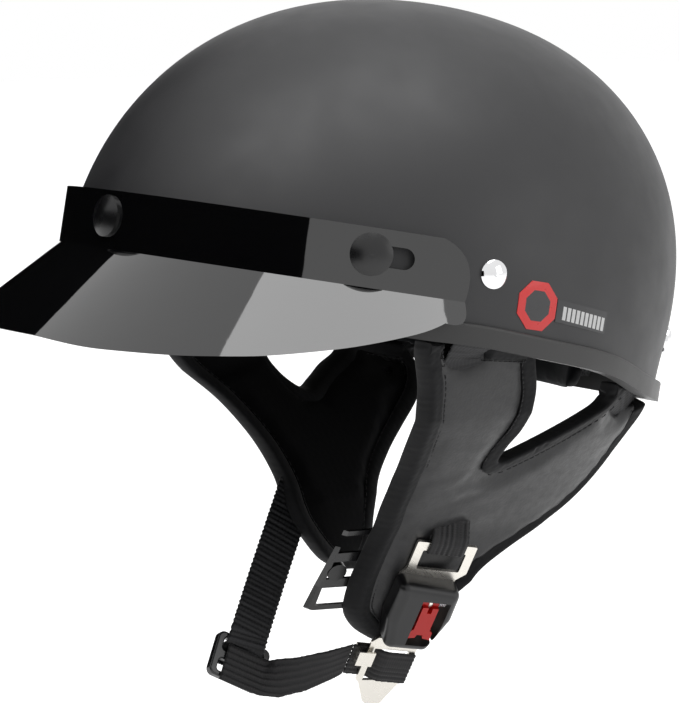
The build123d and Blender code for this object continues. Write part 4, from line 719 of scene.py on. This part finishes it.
# Webbing
def measure(place, points, sides, lengths):
    """Distance across and along a centre line at its nearest run, carried on past its ends."""
    best = None
    last = len(points) - 2
    for k, (a, b) in enumerate(zip(points, points[1:])):
        run = b - a
        share = (place - a).dot(run) / run.length_squared
        held = max(0, min(1, share))
        gap = (place - a - run * held).length
        if best is None or gap < best[0]:
            past_an_end = (k == 0 and share < 0) or (k == last and share > 1)
            free = share if past_an_end else held
            across = (place - a - run * free).dot(sides[k].lerp(sides[k + 1], held))
            best = (gap, across, lengths[k] + run.length * free)
    return best[1:]


def webbing(name, node, body, made, line, across, voxel, rib, pitch, long_ribs=False):
    """Strap regrown from its CAD solid, ribs raised on it, UVs measured along its centre line."""
    piece = copy_of(name, node)
    remesh(piece, voxel, 2)
    points = [Vector(point) * MM for point in line]
    sides = [Vector(side).normalized() for side in across]
    lengths = [0]
    for a, b in zip(points, points[1:]):
        lengths.append(lengths[-1] + (b - a).length)
    measured = [measure(vertex.co, points, sides, lengths) for vertex in piece.data.vertices]
    for vertex, normal, (s, t) in zip(piece.data.vertices, normals_of(piece), measured):
        phase = s if long_ribs else t
        vertex.co += normal * rib * (math.sin(phase / pitch * 2 * math.pi) - 0.5)
    uv = piece.data.uv_layers.new(name="UVMap")
    for corner in piece.data.loops:
        uv.data[corner.index].uv = measured[corner.vertex_index]
    smooth_faces(piece)
    piece.data.materials.append(made)
    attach(piece, body)
    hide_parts(node)


# The buckle's and the slide's own origins and axes, in millimetres
BUCKLE_O = Vector((33.408, -2.0, -132.8))
BUCKLE_X = Vector((0.31558, 0.93287, -0.17369))
BUCKLE_Y = Vector((0.51030, -0.01253, 0.85990))
BUCKLE_Z = Vector((0.8, -0.36, -0.48))
SLIDE_O = Vector((-20.0, -60.2, -167.0))
SLIDE_X = Vector((0.30, 0.83, -0.47)).normalized()
SLIDE_Z = Vector((0.904, -0.097, 0.407)).normalized()
SLIDE_Y = SLIDE_Z.cross(SLIDE_X).normalized()


def buckle_point(x, y, z):
    """A point given in the buckle's axes."""
    return BUCKLE_O + BUCKLE_X * x + BUCKLE_Y * y + BUCKLE_Z * z


def slide_point(x, y, z):
    """A point given in the slide's axes."""
    return SLIDE_O + SLIDE_X * x + SLIDE_Y * y + SLIDE_Z * z


webbing(
    "chin_webbing_right", "right_chin_strap", "helmet", webbing_cross,
    [(-45.5, -6, -95), (-38, -20, -112), (-30, -39, -135), (-22.5, -54, -154.5),
     slide_point(0, 3, 1), slide_point(0, -3, -3)],
    [SLIDE_X] * 6, voxel=0.0006, rib=0.00022, pitch=0.0024)
webbing(
    "chin_webbing_run", "chin_strap_run", "helmet", webbing_long,
    [buckle_point(-18.6, -41.1, 2.2), (4.6, -26.5, -168.6), (-2.6, -38.2, -172.6),
     (-8.6, -47.0, -174.2), slide_point(12, -3.4, 3.5), slide_point(3, -3.5, 3.15),
     slide_point(-8, -3.5, 3.15)],
    [BUCKLE_Y, (0.48, 0, 0.88), (0.3, 0.16, 0.94), (0.05, 0.36, 0.93), SLIDE_Y, SLIDE_Y, SLIDE_Y],
    voxel=0.0006, rib=0.00008, pitch=0.0014, long_ribs=True)
webbing(
    "tongue_webbing_end", "tongue_webbing", "tongue_body", webbing_long,
    [buckle_point(-18.5, -41, 2.2), buckle_point(-9.6, -41, 2.2), buckle_point(-4.6, -41, 5),
     buckle_point(-2.4, -41, 5.7), buckle_point(10.8, -41, 5.7)],
    [BUCKLE_Y] * 5, voxel=0.0005, rib=0.00012, pitch=0.0024, long_ribs=True)
webbing(
    "buckle_webbing_loop", "buckle_web_loop", "helmet", webbing_long,
    [buckle_point(5, 46, -6), buckle_point(5, 38.5, -3.5), buckle_point(5, 33, 1.2),
     buckle_point(5, 25, 2.4)],
    [BUCKLE_X] * 4, voxel=0.0005, rib=0.00015, pitch=0.0022, long_ribs=True)
for word, side in (("left", 1), ("right", -1)):
    webbing(
        f"{word}_front_webbing", f"{word}_front_strap", "helmet", webbing_cross,
        [(side * 117, -26, 28), (side * 112, -30, 0), (side * 101, -32, -17),
         (side * 95, -24, -50), (side * 68, -10, -76), (side * 52, 0, -90)],
        [(0, 1, 0)] * 6, voxel=0.0007, rib=0.0001, pitch=0.0022)
    webbing(
        f"{word}_rear_webbing", f"{word}_rear_strap", "helmet", webbing_cross,
        [(side * 75, 108, -17), (side * 78, 92, -40), (side * 76, 74, -50),
         (side * 70, 62, -68), (side * 62, 44, -82), (side * 50, 8, -92)],
        [(0, -0.5, 0.8)] * 6, voxel=0.0007, rib=0.0001, pitch=0.0022)

# Floor, backdrop, dark cards and studio light
WHITE = (1, 1, 1, 1)
FLOOR_Z = -0.25
FLOOR_HALF = 6
FLOOR_GLOW = 0.85
WORLD_FILL = 0.35


def seen_directly(tree, links, strength):
    """Strength on camera, glossy and transmission rays, nothing on the rest."""
    path = tree.new("ShaderNodeLightPath")
    seen = maths(tree, links, "ADD", path.outputs["Is Camera Ray"], path.outputs["Is Glossy Ray"])
    seen = maths(tree, links, "ADD", seen, path.outputs["Is Transmission Ray"])
    return maths(tree, links, "MULTIPLY", maths(tree, links, "MINIMUM", seen, 1.0), strength)


def stage_plane(name, corners, made):
    """A flat piece of the studio."""
    mesh = bpy.data.meshes.new(name)
    mesh.from_pydata(corners, [], [tuple(range(len(corners)))])
    mesh.materials.append(made)
    piece = link(name, mesh)


def dark_card(name, corners):
    """Card that the gloss shows as a dark band. Camera rays pass straight through it."""
    made, tree, links, shader = finish_of(name, (0.004, 0.004, 0.004), 0.95, specular=0.0)
    path = tree.new("ShaderNodeLightPath")
    clear = tree.new("ShaderNodeBsdfTransparent")
    mix = tree.new("ShaderNodeMixShader")
    links.new(path.outputs["Is Camera Ray"], mix.inputs["Fac"])
    links.new(shader.outputs["BSDF"], mix.inputs[1])
    links.new(clear.outputs["BSDF"], mix.inputs[2])
    links.new(mix.outputs["Shader"], tree["Material Output"].inputs["Surface"])
    stage_plane(name, corners, made)


# Pale matt floor that shows white where it is seen, and keeps the shadow
floor_made, tree, links, shader = finish_of("floor", (0.82, 0.82, 0.82), 0.9, specular=0.1)
shader.inputs["Emission Color"].default_value = WHITE
links.new(seen_directly(tree, links, FLOOR_GLOW), shader.inputs["Emission Strength"])
floor_corners = [
    (x * FLOOR_HALF, y * FLOOR_HALF, FLOOR_Z) for x, y in ((-1, -1), (1, -1), (1, 1), (-1, 1))]
stage_plane("floor", floor_corners, floor_made)

# White world where it is seen, grey as a light
world = bpy.data.worlds.new("studio")
bpy.context.scene.world = world
world.use_nodes = True
tree, links = world.node_tree.nodes, world.node_tree.links
fill = tree["Background"]
fill.inputs["Color"].default_value = WHITE
fill.inputs["Strength"].default_value = WORLD_FILL
white = tree.new("ShaderNodeBackground")
white.inputs["Color"].default_value = WHITE
white.inputs["Strength"].default_value = 1.0
world_mix = tree.new("ShaderNodeMixShader")
links.new(seen_directly(tree, links, 1.0), world_mix.inputs["Fac"])
links.new(fill.outputs["Background"], world_mix.inputs[1])
links.new(white.outputs["Background"], world_mix.inputs[2])
links.new(world_mix.outputs["Shader"], tree["World Output"].inputs["Surface"])

dark_card(
    "front_card",
    [(-1.6, -1.5, FLOOR_Z), (1.35, -1.5, FLOOR_Z), (1.35, -1.5, 0.6), (-1.6, -1.5, 0.6)])
dark_card(
    "far_card",
    [(-1.5, -1.5, FLOOR_Z), (-1.5, 0.6, FLOOR_Z), (-1.5, 0.6, 1.3), (-1.5, -1.5, 1.3)])

# Square soft boxes that face the origin: name, place, size, watts
for name, place, size, power in (
    ("overhead", (0.4, 0.1, 1.6), 1.2, 12),
    ("left_box", (1.5, 0.9, 0.5), 1.0, 4),
    ("front_box", (0.1, -0.9, 1.5), 0.8, 8),
):
    light = bpy.data.lights.new(name, "AREA")
    light.shape = "RECTANGLE"
    light.size = size
    light.size_y = size
    light.energy = power
    lamp = link(name, light)
    lamp.location = place
    lamp.rotation_mode = "QUATERNION"
    lamp.rotation_quaternion = (-Vector(place)).to_track_quat("-Z", "Y")
